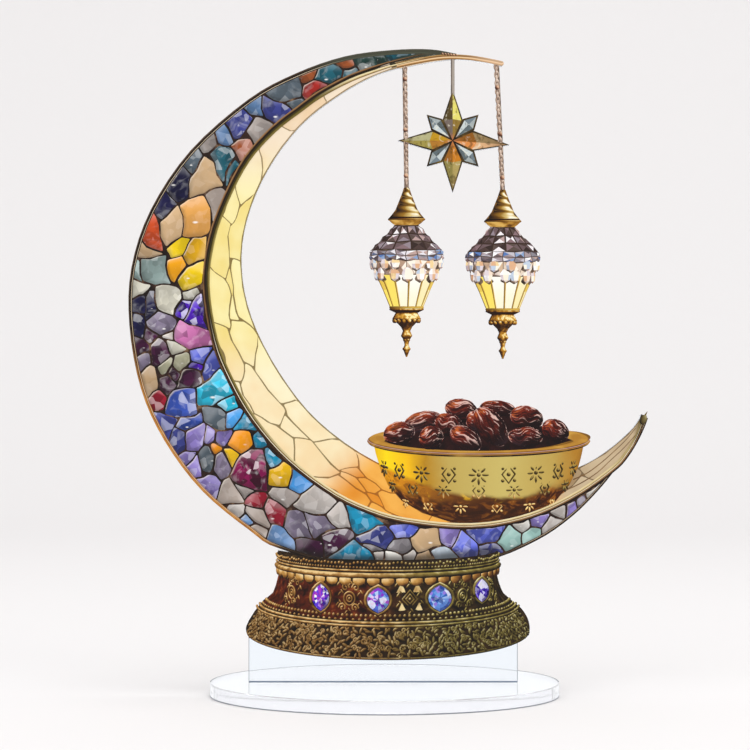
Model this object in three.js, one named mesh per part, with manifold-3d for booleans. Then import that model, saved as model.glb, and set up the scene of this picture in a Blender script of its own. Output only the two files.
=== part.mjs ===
// An acrylic tabletop plaque. A clear sheet is cut along the outline of the picture printed on its
// front, and stands by a tab in a slotted clear disc. The picture is one layer of raised ink, held
// here as one mesh for each thing it shows: a mosaic crescent, lanterns, a star, a bowl of dates
// and a jewelled plinth. Millimetres, +Z up, the picture facing -Y, the origin under the disc.
import * as THREE from "three";
import { mergeVertices } from "three/addons/utils/BufferGeometryUtils.js";
import Module from "manifold-3d";

// The sheets
const SHEET_THICKNESS = 3;
const INK_THICKNESS = 0.2;
const BASE_DIAMETER = 104.5;
const BASE_THICKNESS = 4;
const BASE_ARRIS = 0.3;
const BASE_SIDES = 96;
const TAB_WIDTH = 80.5;
const TAB_MIDDLE_X = -0.4;
const TAB_TOP_Z = 18;
const SLOT_CLEARANCE = 0.15;

// The crescent, as [x, z] points that a smooth line runs through, from the top to the right tip
const OUTER_EDGE = [
  [21.4, 192.1], [13.7, 193.4], [2.3, 193.2], [-11.9, 191.3], [-26.6, 186.2], [-40.8, 178.4],
  [-58.1, 163.1], [-70, 145.4], [-75.8, 128], [-76.4, 110.9], [-73, 92], [-66, 76.4],
  [-54.8, 61.4], [-40.4, 49.4], [-30.5, 43.6], [0.1, 36.2], [28.6, 39.8], [45.1, 46.1],
  [56.2, 53.6], [64.6, 62], [70.6, 69.5], [75.5, 75.5], [77.8, 80], [78.9, 83],
];
const MIDDLE_RIM_LINE = [
  [12.2, 191.5], [4.7, 189.7], [-1.4, 188], [-10.4, 184.7], [-19.4, 179.9], [-25.4, 175.6],
  [-33.3, 169.4], [-41.3, 160.4], [-47.6, 148.4], [-51.8, 136.4], [-53.4, 122.9], [-50.9, 106.4],
  [-46.2, 94.4], [-39.2, 82.4], [-28.7, 70.4], [-14.6, 59.9], [-1.4, 54.1], [9.2, 51.8],
  [22.7, 50.6], [34.7, 51.5], [46.7, 54.8], [58.7, 60.8], [68.3, 67.7], [72.2, 71.8],
  [75.8, 77.9], [77.7, 83.9],
];
const INNER_EDGE = [
  [5.8, 188.3], [-2.9, 185.6], [-13.3, 179.9], [-25.1, 170.6], [-34.9, 157.4], [-41.2, 142.4],
  [-42.8, 128], [-39.8, 113], [-31.6, 96.8], [-19.9, 82.1], [-2.9, 70.1], [16.6, 63.2],
  [40.6, 62.9], [58, 68.2], [67, 73.4], [73.6, 79.1], [76, 82.1], [77, 83.9],
];
const CURVE_STEPS = 4;
const INNER_UNDER_BOWL = 11;
const RIM_UNDER_BOWL = 18;
const OUTER_RIM_WIDTH = 1.2;
const OUTER_RIM_END_WIDTH = 0.5;
const MIDDLE_RIM_WIDTH = 2.2;
const MIDDLE_RIM_END_WIDTH = 1.8;

// The gold bar along the top horn that everything hangs from
const HORN_TOP = [[3.1, 189.5], [10.7, 191], [16.6, 191.8], [22.6, 191.8], [28.6, 191.2], [34.8, 190]];
const HORN_UNDERSIDE = [
  [35.2, 188.4], [31.6, 189.2], [25.6, 190.2], [19.6, 190.4], [10.7, 189.1], [4.6, 187.7],
];

// The star and its thread
const STAR_MIDDLE = [20.4, 166.1];
const STAR_UP = 15.3;
const STAR_DOWN = 15.6;
const STAR_LEFT = 16.4;
const STAR_RIGHT = 17;
const STAR_RIGHT_DROP = 1.3;
const STAR_SHORT_ARM = 11;
const STAR_SHOULDER_OUT = 6;
const STAR_SHOULDER_ASIDE = 3.1;
const STAR_SHORT_SHOULDER = 7.2;
const STAR_SHORT_TURN = 45;
const STAR_SHORT_SPREAD = 19.3;
const THREAD_WIDTH = 1.1;

// The lanterns and their chains. A profile is [drop below the lantern's top, half width] pairs.
const CAP_PROFILE = [
  [0, 0.8], [2.1, 1.5], [3.6, 2.1], [6.6, 3.3], [8.1, 4.4], [9.5, 5.6], [10.6, 4.4], [11.2, 3.6],
];
const CRYSTAL_PROFILE = [
  [11.2, 3.6], [12.7, 4.8], [15.6, 7.3], [18.6, 10.5], [20.4, 11.1], [22.3, 10.8], [24, 10.2],
  [26.1, 9.2],
];
const GLASS_PROFILE = [[26.1, 9.2], [30.6, 7.1], [35.9, 4.9]];
const FINIAL_PROFILE = [
  [35.9, 4.9], [36.6, 5.2], [37.5, 3.3], [39.3, 4.3], [40.2, 3.2], [41.7, 1.7], [42.9, 1.1],
  [44.4, 1.7], [45.6, 0.9], [47.1, 0.6], [48.3, 1.1], [50.7, 0.2],
];
const LANTERN_LEFT_X = 6.6;
const LANTERN_LEFT_TOP_Z = 152;
const LANTERN_RIGHT_X = 35.4;
const LANTERN_RIGHT_TOP_Z = 151.4;
const CHAIN_WIDTH = 1.4;
const CHAIN_LEFT_HOOK_X = 6;
const CHAIN_RIGHT_HOOK_X = 33.6;
const HOOK_Z = 189;
const CHAIN_TUCK = 1;

// The bowl and the dates. A date is its middle's x and z, its half length, half width and turn.
const BOWL_RIM = [
  [-5.2, 76.4], [-1.1, 74.2], [7.6, 72.5], [18.1, 71.5], [28.6, 71], [39.1, 71.5], [49.6, 72.8],
  [57.1, 74.5], [61.6, 76.9], [59.8, 78.5], [52.6, 79.3], [28.6, 79.7], [4.6, 79.1], [-3.1, 77.6],
];
const BOWL_LIP = [
  [-0.4, 76.2], [7.6, 74.3], [18.1, 73.3], [28.6, 73], [39.1, 73.3], [49.6, 74.6], [57.2, 76.7],
];
const BELOW_LIP_Z = 51.2;
const BOWL_WALL = [
  [-3.4, 75.4], [-2.5, 72.5], [-1.1, 68], [1.1, 63.8], [4.6, 59.3], [10, 55.7], [18.1, 52.6],
  [28.6, 51.2], [38.2, 52], [45.4, 55], [51.1, 58.1], [55.4, 62.6], [57.8, 67.7], [59.2, 72.8], [59.8, 76.5],
];
const HEAP_TOP = [[54, 77.6], [47.2, 80.6], [38.6, 83.8], [27.6, 85.8], [17.5, 83.2], [12, 82], [4, 79]];
const DATES = [
  [4.4, 78.5, 4.4, 3.3, 12],
  [11.9, 81.8, 5.7, 3.1, 8],
  [14.0, 77.0, 3.4, 3.5, 0],
  [19.4, 80.9, 4.4, 3.2, -24],
  [23.2, 85.4, 4.8, 3.2, -14],
  [24.3, 76.8, 4.9, 3.2, -34],
  [27.2, 82.2, 2.6, 2.9, 0],
  [31.8, 80.4, 6.4, 3.9, -52],
  [33.5, 86.0, 4.9, 2.1, -5],
  [43.0, 83.1, 4.4, 3.4, -14],
  [42.2, 77.4, 4.8, 2.9, -4],
  [51.2, 79.3, 4.0, 3.1, -26],
];
const DATE_SIDES = 20;

// The plinth, as edges from left to right, and its gems as the middle's x and z and the half sizes
const COLLAR_TOP = [[-31.9, 43.4], [-16, 41.2], [1, 40.2], [18, 40.6], [34, 42.8]];
const COLLAR_UNDERSIDE = [[-31.3, 38.3], [-15, 35.6], [1, 34.4], [18, 35], [33.9, 38.2]];
const BAND_UNDERSIDE = [[-36.4, 28.4], [-20, 24.2], [1, 22], [20, 23.2], [38.4, 28]];
const WAIST_LEFT = [[-31.3, 38.3], [-32.2, 34.4], [-33.4, 30.8], [-36.4, 28.4]];
const WAIST_RIGHT = [[33.9, 38.2], [33.8, 35.6], [35.5, 30.8], [38.4, 28]];
const FOOT = [
  [-36.4, 28.4], [-38.9, 25.1], [-40.9, 21.8], [-41.5, 19.7], [-40.4, 17.3], [-36.8, 15.5],
  [-28.3, 13.4], [-16.3, 11.9], [0.1, 11.2], [13.7, 11.6], [25.6, 12.7], [36.1, 14.8],
  [41.5, 17], [43.4, 19.1], [43, 22.7], [41, 26], [38.4, 28],
];
const GEMS = [
  [-19.1, 29.3, 3, 4.6],
  [-1.9, 28.4, 3.9, 4.4],
  [16.6, 29.0, 4.1, 4.5],
  [29.2, 31.4, 2.4, 4],
];
const GEM_SHOULDER = 0.62;

const CLEAR = new THREE.MeshStandardMaterial({
  color: 0xe8f1fa,
  roughness: 0.05,
  transparent: true,
  opacity: 0.35,
});
const BRONZE = new THREE.MeshStandardMaterial({ color: 0x4a3616, roughness: 0.3 });
const GOLD = new THREE.MeshStandardMaterial({ color: 0xa87c34, roughness: 0.3 });
const CHAIN = new THREE.MeshStandardMaterial({ color: 0x806654, roughness: 0.3 });
const MOSAIC = new THREE.MeshStandardMaterial({ color: 0x5a6a8e, roughness: 0.3 });
const CREAM = new THREE.MeshStandardMaterial({ color: 0xf2d79a, roughness: 0.3 });
const AMBER = new THREE.MeshStandardMaterial({ color: 0xb98a2c, roughness: 0.3 });
const CRYSTAL = new THREE.MeshStandardMaterial({ color: 0xa9a2ae, roughness: 0.3 });
const GLOW = new THREE.MeshStandardMaterial({ color: 0xfff0b8, roughness: 0.3 });
const BRASS = new THREE.MeshStandardMaterial({ color: 0xc9a84a, roughness: 0.3 });
const DATE_SKIN = new THREE.MeshStandardMaterial({ color: 0x561510, roughness: 0.3 });
const FILIGREE = new THREE.MeshStandardMaterial({ color: 0x6b4a1e, roughness: 0.3 });
const GEM = new THREE.MeshStandardMaterial({ color: 0x6a58c8, roughness: 0.3 });

const SAME_POINT = 1e-3;
const wasm = await Module();
wasm.setup();

function toSolid(geometry) {
  geometry.deleteAttribute("normal");
  geometry.deleteAttribute("uv");
  const merged = mergeVertices(geometry, SAME_POINT);
  const vertProperties = merged.attributes.position.array;
  const triVerts = new Uint32Array(merged.index.array);
  return new wasm.Manifold(new wasm.Mesh({ numProp: 3, vertProperties, triVerts }));
}

function toGeometry(solid) {
  const mesh = solid.getMesh();
  const geometry = new THREE.BufferGeometry();
  geometry.setAttribute("position", new THREE.BufferAttribute(mesh.vertProperties, 3));
  geometry.setIndex(new THREE.BufferAttribute(mesh.triVerts, 1));
  geometry.computeVertexNormals();
  return geometry;
}

// A flat plate of an outline of [x, z] points, from backY towards the viewer
function plate(outline, backY, thickness) {
  const corners = outline.map(([x, z]) => new THREE.Vector2(x, z));
  const shape = new THREE.Shape(corners.filter((p, i) => p.distanceTo(corners.at(i - 1)) > SAME_POINT));
  const geometry = new THREE.ExtrudeGeometry(shape, { depth: thickness, bevelEnabled: false });
  geometry.rotateX(Math.PI / 2);
  geometry.translate(0, backY, 0);
  return toSolid(geometry);
}

function smooth(points) {
  const curve = new THREE.SplineCurve(points.map(([x, z]) => new THREE.Vector2(x, z)));
  return curve.getPoints((points.length - 1) * CURVE_STEPS).map((p) => [p.x, p.y]);
}

// The line moved aside by a distance that goes evenly from one end's value to the other's
function beside(line, distance, endDistance) {
  return line.map(([x, z], i) => {
    const before = line[Math.max(i - 1, 0)];
    const after = line[Math.min(i + 1, line.length - 1)];
    const length = Math.hypot(after[0] - before[0], after[1] - before[1]);
    const aside = THREE.MathUtils.lerp(distance, endDistance, i / (line.length - 1));
    return [x - ((after[1] - before[1]) / length) * aside, z + ((after[0] - before[0]) / length) * aside];
  });
}

function reversed(line) {
  return [...line].reverse();
}

// A cut can leave crumbs beside the piece itself
function largest(solid) {
  return solid.decompose().reduce((a, b) => (b.volume() > a.volume() ? b : a));
}

const root = new THREE.Group();
let sheet = null;
let printed = null;

function addMesh(name, solid, material) {
  const mesh = new THREE.Mesh(toGeometry(solid), material);
  mesh.name = name;
  root.add(mesh);
}

function joined(outlines, backY, thickness) {
  return outlines.map((outline) => plate(outline, backY, thickness)).reduce((a, b) => a.add(b));
}

// Prints the part of the outlines that nothing printed before it covers, so the pieces of the
// picture are given from the front to the back, and gives the sheet the same outline
function print(name, outlines, material, hidden) {
  let ink = joined(outlines, -SHEET_THICKNESS / 2, INK_THICKNESS);
  let cutter = joined(outlines, 0, SHEET_THICKNESS);
  if (hidden) {
    const hiddenPlate = plate(hidden, SHEET_THICKNESS / 2, 2 * SHEET_THICKNESS);
    ink = ink.subtract(hiddenPlate);
    cutter = cutter.subtract(hiddenPlate);
  }
  if (printed) ink = ink.subtract(printed);
  addMesh(name, largest(ink), material);
  printed = printed ? printed.add(cutter) : cutter;
  const backing = joined(outlines, SHEET_THICKNESS / 2, SHEET_THICKNESS);
  sheet = sheet ? sheet.add(backing) : backing;
}

// The star: four long arms with shoulders, and four short arms between them
const [starX, starZ] = STAR_MIDDLE;
const longArms = [
  [[STAR_RIGHT, -STAR_RIGHT_DROP], [1, 0]],
  [[0, STAR_UP], [0, 1]],
  [[-STAR_LEFT, 0], [-1, 0]],
  [[0, -STAR_DOWN], [0, -1]],
];
const starArms = longArms.map(([tip, [outX, outZ]]) => {
  const shoulder = (side) => [
    starX + outX * STAR_SHOULDER_OUT - side * outZ * STAR_SHOULDER_ASIDE,
    starZ + outZ * STAR_SHOULDER_OUT + side * outX * STAR_SHOULDER_ASIDE,
  ];
  return [[starX, starZ], shoulder(-1), [starX + tip[0], starZ + tip[1]], shoulder(1)];
});
const starRays = longArms.map(([, [outX, outZ]]) => {
  const along = (reach, degrees) => {
    const turn = THREE.MathUtils.degToRad(degrees);
    return [
      starX + reach * (outX * Math.cos(turn) - outZ * Math.sin(turn)),
      starZ + reach * (outZ * Math.cos(turn) + outX * Math.sin(turn)),
    ];
  };
  return [
    [starX, starZ],
    along(STAR_SHORT_SHOULDER, STAR_SHORT_TURN - STAR_SHORT_SPREAD),
    along(STAR_SHORT_ARM, STAR_SHORT_TURN),
    along(STAR_SHORT_SHOULDER, STAR_SHORT_TURN + STAR_SHORT_SPREAD),
  ];
});
print("print_star", [...starArms, ...starRays], AMBER);

// The lanterns, each a cap, a crystal crown, a glass body and a finial
function profileOutline(profile, x, topZ) {
  const right = profile.map(([drop, half]) => [x + half, topZ - drop]);
  const left = profile.map(([drop, half]) => [x - half, topZ - drop]);
  return [...left, ...reversed(right)];
}
const LANTERNS = [
  ["left", LANTERN_LEFT_X, LANTERN_LEFT_TOP_Z, CHAIN_LEFT_HOOK_X, starZ],
  ["right", LANTERN_RIGHT_X, LANTERN_RIGHT_TOP_Z, CHAIN_RIGHT_HOOK_X, starZ - STAR_RIGHT_DROP],
];
for (const [side, x, topZ] of LANTERNS) {
  print("print_lantern_cap_" + side, [profileOutline(CAP_PROFILE, x, topZ)], GOLD);
  print("print_lantern_crystal_" + side, [profileOutline(CRYSTAL_PROFILE, x, topZ)], CRYSTAL);
  print("print_lantern_glass_" + side, [profileOutline(GLASS_PROFILE, x, topZ)], GLOW);
  print("print_lantern_finial_" + side, [profileOutline(FINIAL_PROFILE, x, topZ)], GOLD);
}

// The gold bar, and the chains and the thread that hang from it
print("print_horn", [[...smooth(HORN_TOP), ...smooth(HORN_UNDERSIDE)]], GOLD);
function strand(topX, topZ, bottomX, bottomZ, width) {
  const half = width / 2;
  return [[topX - half, topZ], [topX + half, topZ], [bottomX + half, bottomZ], [bottomX - half, bottomZ]];
}
for (const [side, x, topZ, hookX, crossingZ] of LANTERNS) {
  const crossingX = THREE.MathUtils.mapLinear(crossingZ, HOOK_Z, topZ, hookX, x);
  const upper = strand(hookX, HOOK_Z, crossingX, crossingZ, CHAIN_WIDTH);
  const lower = strand(crossingX, crossingZ, x, topZ - CHAIN_TUCK, CHAIN_WIDTH);
  print("print_chain_upper_" + side, [upper], CHAIN);
  print("print_chain_lower_" + side, [lower], CHAIN);
}
const threadTopZ = (HORN_TOP[3][1] + HORN_UNDERSIDE[3][1]) / 2;
print("print_star_thread", [strand(starX, threadTopZ, starX, starZ, THREAD_WIDTH)], CHAIN);

// The middle rim lies in front of the bowl's foot
const rimLine = smooth(MIDDLE_RIM_LINE);
const rimAbove = beside(rimLine, MIDDLE_RIM_WIDTH / 2, MIDDLE_RIM_END_WIDTH / 2);
const rimBelow = beside(rimLine, -MIDDLE_RIM_WIDTH / 2, -MIDDLE_RIM_END_WIDTH / 2);
print("print_middle_rim", [[...rimAbove, ...reversed(rimBelow)]], BRONZE);

// The dates are heaped in the bowl, and its front lip hides their lower ends
function ovalOutline([x, z, halfLength, halfWidth, turn]) {
  const radians = THREE.MathUtils.degToRad(turn);
  const oval = new THREE.EllipseCurve(x, z, halfLength, halfWidth, 0, 2 * Math.PI, false, radians);
  return oval.getPoints(DATE_SIDES).slice(0, -1).map((p) => [p.x, p.y]);
}
const lip = smooth(BOWL_LIP);
const belowLip = [...lip, [lip.at(-1)[0], BELOW_LIP_Z], [lip[0][0], BELOW_LIP_Z]];
const heap = [...lip, ...smooth(HEAP_TOP)];
print("print_dates", [heap, ...DATES.map(ovalOutline)], DATE_SKIN, belowLip);
print("print_bowl_rim", [smooth([...BOWL_RIM, BOWL_RIM[0]])], BRASS);
print("print_bowl_wall", [smooth(BOWL_WALL)], BRASS);

// The plinth: gems in front of a waisted band, between a collar and a foot
function gemOutline([x, z, halfWidth, halfHeight]) {
  const corner = (side, end) => {
    const from = new THREE.Vector2(x, z + end * halfHeight);
    const control = new THREE.Vector2(x + side * halfWidth, z + end * halfHeight * GEM_SHOULDER);
    const to = new THREE.Vector2(x + side * halfWidth, z);
    return new THREE.QuadraticBezierCurve(from, control, to).getPoints(CURVE_STEPS).map((p) => [p.x, p.y]);
  };
  return [...corner(-1, 1), ...reversed(corner(-1, -1)), ...corner(1, -1), ...reversed(corner(1, 1))];
}
GEMS.forEach((gem, i) => print("print_gem_" + (i + 1), [gemOutline(gem)], GEM));
const collarUnderside = smooth(COLLAR_UNDERSIDE);
const bandUnderside = smooth(BAND_UNDERSIDE);
print("print_plinth_collar", [[...smooth(COLLAR_TOP), ...reversed(collarUnderside)]], FILIGREE);
const waist = [...smooth(WAIST_RIGHT), ...reversed(bandUnderside), ...reversed(smooth(WAIST_LEFT))];
print("print_plinth_band", [[...collarUnderside, ...waist]], FILIGREE);
print("print_plinth_foot", [[...smooth(FOOT), ...reversed(bandUnderside)]], FILIGREE);

// The crescent behind them: its outer rim, its lit cream face and its mosaic. The plinth parts the
// rim and the bowl parts the face, so each of those is two pieces.
const outerLine = smooth(OUTER_EDGE);
const outerInside = beside(outerLine, OUTER_RIM_WIDTH, OUTER_RIM_END_WIDTH);
const innerLine = smooth(INNER_EDGE);
const lowest = CURVE_STEPS * OUTER_EDGE.indexOf(OUTER_EDGE.reduce((a, b) => (b[1] < a[1] ? b : a)));
const rimLeft = [...outerLine.slice(0, lowest + 1), ...reversed(outerInside.slice(0, lowest + 1))];
const rimRight = [...outerLine.slice(lowest), ...reversed(outerInside.slice(lowest))];
print("print_outer_rim_left", [rimLeft], BRONZE);
print("print_outer_rim_right", [rimRight], BRONZE);
const underBowl = CURVE_STEPS * INNER_UNDER_BOWL;
const rimUnderBowl = CURVE_STEPS * RIM_UNDER_BOWL;
const faceLeft = [...innerLine.slice(0, underBowl + 1), ...reversed(rimLine.slice(0, rimUnderBowl + 1))];
const faceRight = [...innerLine.slice(underBowl), ...reversed(rimLine.slice(rimUnderBowl))];
print("print_cream_face", [faceLeft], CREAM);
print("print_cream_tip", [faceRight], CREAM);
print("print_mosaic", [[...outerLine, ...reversed(rimLine)]], MOSAIC);

// The clear sheet behind the picture, with the tab that stands in the disc
function rectangle(middleX, width, bottomZ, topZ) {
  const left = middleX - width / 2;
  const right = middleX + width / 2;
  return [[left, bottomZ], [right, bottomZ], [right, topZ], [left, topZ]];
}
const tabOutline = rectangle(TAB_MIDDLE_X, TAB_WIDTH, 0, TAB_TOP_Z);
const tab = plate(tabOutline, SHEET_THICKNESS / 2, SHEET_THICKNESS);
addMesh("plaque_sheet", sheet.add(tab), CLEAR);

// The clear disc, with its edges broken and a slot right through it
const circle = new THREE.Shape().absarc(0, 0, BASE_DIAMETER / 2, 0, 2 * Math.PI, false);
const discGeometry = new THREE.ExtrudeGeometry(circle, {
  depth: BASE_THICKNESS - 2 * BASE_ARRIS,
  bevelThickness: BASE_ARRIS,
  bevelSize: BASE_ARRIS,
  bevelOffset: -BASE_ARRIS,
  bevelSegments: 1,
  curveSegments: BASE_SIDES / 2,
});
discGeometry.translate(0, 0, BASE_ARRIS);
const slotWidth = SHEET_THICKNESS + 2 * SLOT_CLEARANCE;
const slotLength = TAB_WIDTH + 2 * SLOT_CLEARANCE;
const slotOutline = rectangle(TAB_MIDDLE_X, slotLength, -BASE_THICKNESS, 2 * BASE_THICKNESS);
const slot = plate(slotOutline, slotWidth / 2, slotWidth);
addMesh("base_disc", toSolid(discGeometry).subtract(slot), CLEAR);

export default root;
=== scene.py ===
import math
import random

import bmesh
import bpy
from mathutils import Matrix, Vector, noise


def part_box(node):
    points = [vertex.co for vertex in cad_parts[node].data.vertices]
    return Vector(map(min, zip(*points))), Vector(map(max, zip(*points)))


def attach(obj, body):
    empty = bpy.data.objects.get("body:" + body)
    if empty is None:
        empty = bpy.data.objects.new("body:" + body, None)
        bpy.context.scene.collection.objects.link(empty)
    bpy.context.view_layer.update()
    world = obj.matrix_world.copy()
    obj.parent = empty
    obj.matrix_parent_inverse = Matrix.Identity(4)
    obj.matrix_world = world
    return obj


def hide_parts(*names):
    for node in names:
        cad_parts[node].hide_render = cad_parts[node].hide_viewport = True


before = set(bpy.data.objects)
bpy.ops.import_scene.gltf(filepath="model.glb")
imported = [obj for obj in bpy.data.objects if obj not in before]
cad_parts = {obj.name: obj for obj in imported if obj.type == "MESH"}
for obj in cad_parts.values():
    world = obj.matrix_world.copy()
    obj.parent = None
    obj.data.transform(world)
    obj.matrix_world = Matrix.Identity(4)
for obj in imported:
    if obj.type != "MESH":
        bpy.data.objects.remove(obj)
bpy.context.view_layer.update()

# The room: a pale floor that sweeps up into a backdrop, two soft lamps in front, one above and an
# even sky. Seen through the acrylic, or mirrored in it, the room is an even white. The camera looks
# straight at the plaque from about half its height.
MM = 0.001
TINY = MM / 1000
CAMERA_PLACE = (-2.85 * MM, -861 * MM, 95.9 * MM)
VIEW_WIDTH = 225 * MM
SENSOR = 36
FLOOR_COLOUR = "#eeecec"
FLOOR_ROUGHNESS = 0.9
FLOOR_SHEEN = 0.1
SEEN_THROUGH_COLOUR = "#f8fbff"
FLOOR_WIDTH = 6
FLOOR_FRONT = -3
FLOOR_BACK = 0.9
SWEEP_STEPS = 12
SWEEP_RADIUS = 0.5
BACKDROP_HEIGHT = 4
FLOOR_GAP = 0.05 * MM
SKY_LIGHT = 0.8
SKY_SEEN_THROUGH = 0.25
LAMPS = {"left": ((-0.9, -1.3, 1.1), 4.0), "right": ((1.0, -1.2, 0.9), 3.0),
         "above": ((0.2, -0.1, 1.7), 9.0)}
LAMP_SIZE = 0.9
LAMPS_AIM = (0, 0, 95 * MM)


def linear(colour):
    """The light that a written colour such as #ffcc00 stands for, and full alpha"""
    parts = [int(colour[i:i + 2], 16) / 255 for i in (1, 3, 5)]
    return [p / 12.92 if p <= 0.04045 else ((p + 0.055) / 1.055) ** 2.4 for p in parts] + [1.0]


def only(*pieces):
    """Selects these pieces and nothing else, and makes the first one active"""
    bpy.ops.object.select_all(action="DESELECT")
    for piece in pieces:
        piece.select_set(True)
    bpy.context.view_layer.objects.active = pieces[0]


def edit(piece, mode="FACE"):
    """Goes into edit mode on one piece with everything on it selected"""
    only(piece)
    bpy.ops.object.mode_set(mode="EDIT")
    bpy.ops.mesh.select_mode(type=mode)
    bpy.ops.mesh.select_all(action="SELECT")


def done():
    bpy.ops.object.mode_set(mode="OBJECT")


def settle():
    """Puts the active piece's place, turn and size into its mesh"""
    bpy.ops.object.transform_apply(location=True, rotation=True, scale=True)


def new_piece(name, data):
    piece = bpy.data.objects.new(name, data)
    bpy.context.scene.collection.objects.link(piece)
    return piece


def new_material(name):
    material = bpy.data.materials.new(name)
    material.use_nodes = True
    return material, material.node_tree, material.node_tree.nodes["Principled BSDF"]


bpy.ops.mesh.primitive_plane_add(size=1, location=(0, (FLOOR_FRONT + FLOOR_BACK) / 2, -FLOOR_GAP))
floor = bpy.context.object
floor.name = "floor"
floor.scale = (FLOOR_WIDTH, FLOOR_BACK - FLOOR_FRONT, 1)
settle()
edit(floor, "EDGE")
bpy.ops.mesh.select_all(action="DESELECT")
done()
for edge in floor.data.edges:
    edge.select = all(floor.data.vertices[v].co.y > FLOOR_BACK - MM for v in edge.vertices)
bpy.ops.object.mode_set(mode="EDIT")
for step in range(SWEEP_STEPS):
    turn = math.pi / 2 * (step + 0.5) / SWEEP_STEPS
    stride = SWEEP_RADIUS * math.pi / 2 / SWEEP_STEPS
    along = (0, stride * math.cos(turn), stride * math.sin(turn))
    bpy.ops.mesh.extrude_edges_move(TRANSFORM_OT_translate={"value": along})
bpy.ops.mesh.extrude_edges_move(TRANSFORM_OT_translate={"value": (0, 0, BACKDROP_HEIGHT)})
done()
bpy.ops.object.shade_smooth()
floor_paint, tree, shader = new_material("pale_floor")
shader.inputs["Base Color"].default_value = linear(FLOOR_COLOUR)
shader.inputs["Roughness"].default_value = FLOOR_ROUGHNESS
shader.inputs["Specular IOR Level"].default_value = FLOOR_SHEEN
seen_through = tree.nodes.new("ShaderNodeEmission")
seen_through.inputs["Color"].default_value = linear(SEEN_THROUGH_COLOUR)
blend = tree.nodes.new("ShaderNodeMixShader")
ray = tree.nodes.new("ShaderNodeLightPath")
by_acrylic = tree.nodes.new("ShaderNodeMath")
by_acrylic.operation = "MAXIMUM"
tree.links.new(ray.outputs["Is Transmission Ray"], by_acrylic.inputs[0])
tree.links.new(ray.outputs["Is Glossy Ray"], by_acrylic.inputs[1])
tree.links.new(by_acrylic.outputs[0], blend.inputs[0])
tree.links.new(shader.outputs[0], blend.inputs[1])
tree.links.new(seen_through.outputs[0], blend.inputs[2])
tree.links.new(blend.outputs[0], tree.nodes["Material Output"].inputs["Surface"])
floor_paint.cycles.emission_sampling = "NONE"
floor.data.materials.append(floor_paint)

world = bpy.data.worlds.new("even_sky")
world.use_nodes = True
tree = world.node_tree
tree.nodes["Background"].inputs["Color"].default_value = (1, 1, 1, 1)
strength = tree.nodes.new("ShaderNodeMath")
strength.operation = "MULTIPLY_ADD"
strength.inputs[1].default_value = SKY_SEEN_THROUGH
strength.inputs[2].default_value = SKY_LIGHT
tree.links.new(tree.nodes.new("ShaderNodeLightPath").outputs["Is Transmission Ray"], strength.inputs[0])
tree.links.new(strength.outputs[0], tree.nodes["Background"].inputs["Strength"])
bpy.context.scene.world = world
for side, (place, power) in LAMPS.items():
    bpy.ops.object.light_add(type="AREA", location=place)
    lamp = bpy.context.object
    lamp.name = "lamp_" + side
    lamp.data.shape = "SQUARE"
    lamp.data.size = LAMP_SIZE
    lamp.data.energy = power
    towards = Vector(LAMPS_AIM) - Vector(place)
    lamp.rotation_euler = towards.to_track_quat("-Z", "Y").to_euler()

bpy.ops.object.camera_add(location=CAMERA_PLACE, rotation=(math.pi / 2, 0, 0))
camera = bpy.context.object
camera.data.sensor_width = SENSOR
camera.data.lens = SENSOR * -CAMERA_PLACE[1] / VIEW_WIDTH
bpy.context.scene.camera = camera
bpy.context.scene.view_settings.view_transform = "Standard"

# The clear sheet and its round base are cut from cast acrylic. Their faces are polished, the laser
# leaves their cut edges bright, and both stay as the solids that they are.
ACRYLIC_IOR = 1.49
ACRYLIC_ROUGHNESS = 0.02
# The disc's glow is painted light: a faint even emission over it that keeps it reading white.
ACRYLIC = [("base_disc", "#fffeff", 0.85, 0.045), ("plaque_sheet", "#fbfdff", 0.97, 0.0)]
for name, tint, clearness, glow in ACRYLIC:
    acrylic, tree, shader = new_material(name + "_acrylic")
    shader.inputs["Base Color"].default_value = linear(tint)
    shader.inputs["Roughness"].default_value = ACRYLIC_ROUGHNESS
    shader.inputs["IOR"].default_value = ACRYLIC_IOR
    shader.inputs["Transmission Weight"].default_value = clearness
    shader.inputs["Emission Color"].default_value = linear(tint)
    shader.inputs["Emission Strength"].default_value = glow
    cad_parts[name].data.materials.clear()
    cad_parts[name].data.materials.append(acrylic)

# The mosaic crescent. The whole picture is one raised layer of cured ink on the sheet's front: each
# thing in it is modelled as if it were real, then pressed flat into that layer, nearer things a
# little prouder. Here a dark plate of leading holds tiles, each cut straight midway to the next.
INK_REACH = 0.155 * MM
INK_BACK_SHARE = 0.25
SHEET_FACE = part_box("plaque_sheet")[0].y
INK_MIDDLE = SHEET_FACE - 0.045 * MM
TURNED_AWAY = -0.02
PLATES = (0.0, 0.08)
CELLS = (0.12, 0.2)
KEY_LIGHT = (0.45, -0.62, 0.64)
INK_SHEEN = 0.2
GLASS_STREAKS = 260
GLASS_FACETS = 420
OUTER_KNOTS = [
    (21.4, 192.1), (13.7, 193.4), (2.3, 193.2), (-11.9, 191.3), (-26.6, 186.2), (-40.8, 178.4),
    (-58.1, 163.1), (-70, 145.4), (-75.8, 128), (-76.4, 110.9), (-73, 92), (-66, 76.4),
    (-54.8, 61.4), (-40.4, 49.4), (-30.5, 43.6), (0.1, 36.2), (28.6, 39.8), (45.1, 46.1),
    (56.2, 53.6), (64.6, 62), (70.6, 69.5), (75.5, 75.5), (77.8, 80), (78.9, 83),
]
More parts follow.
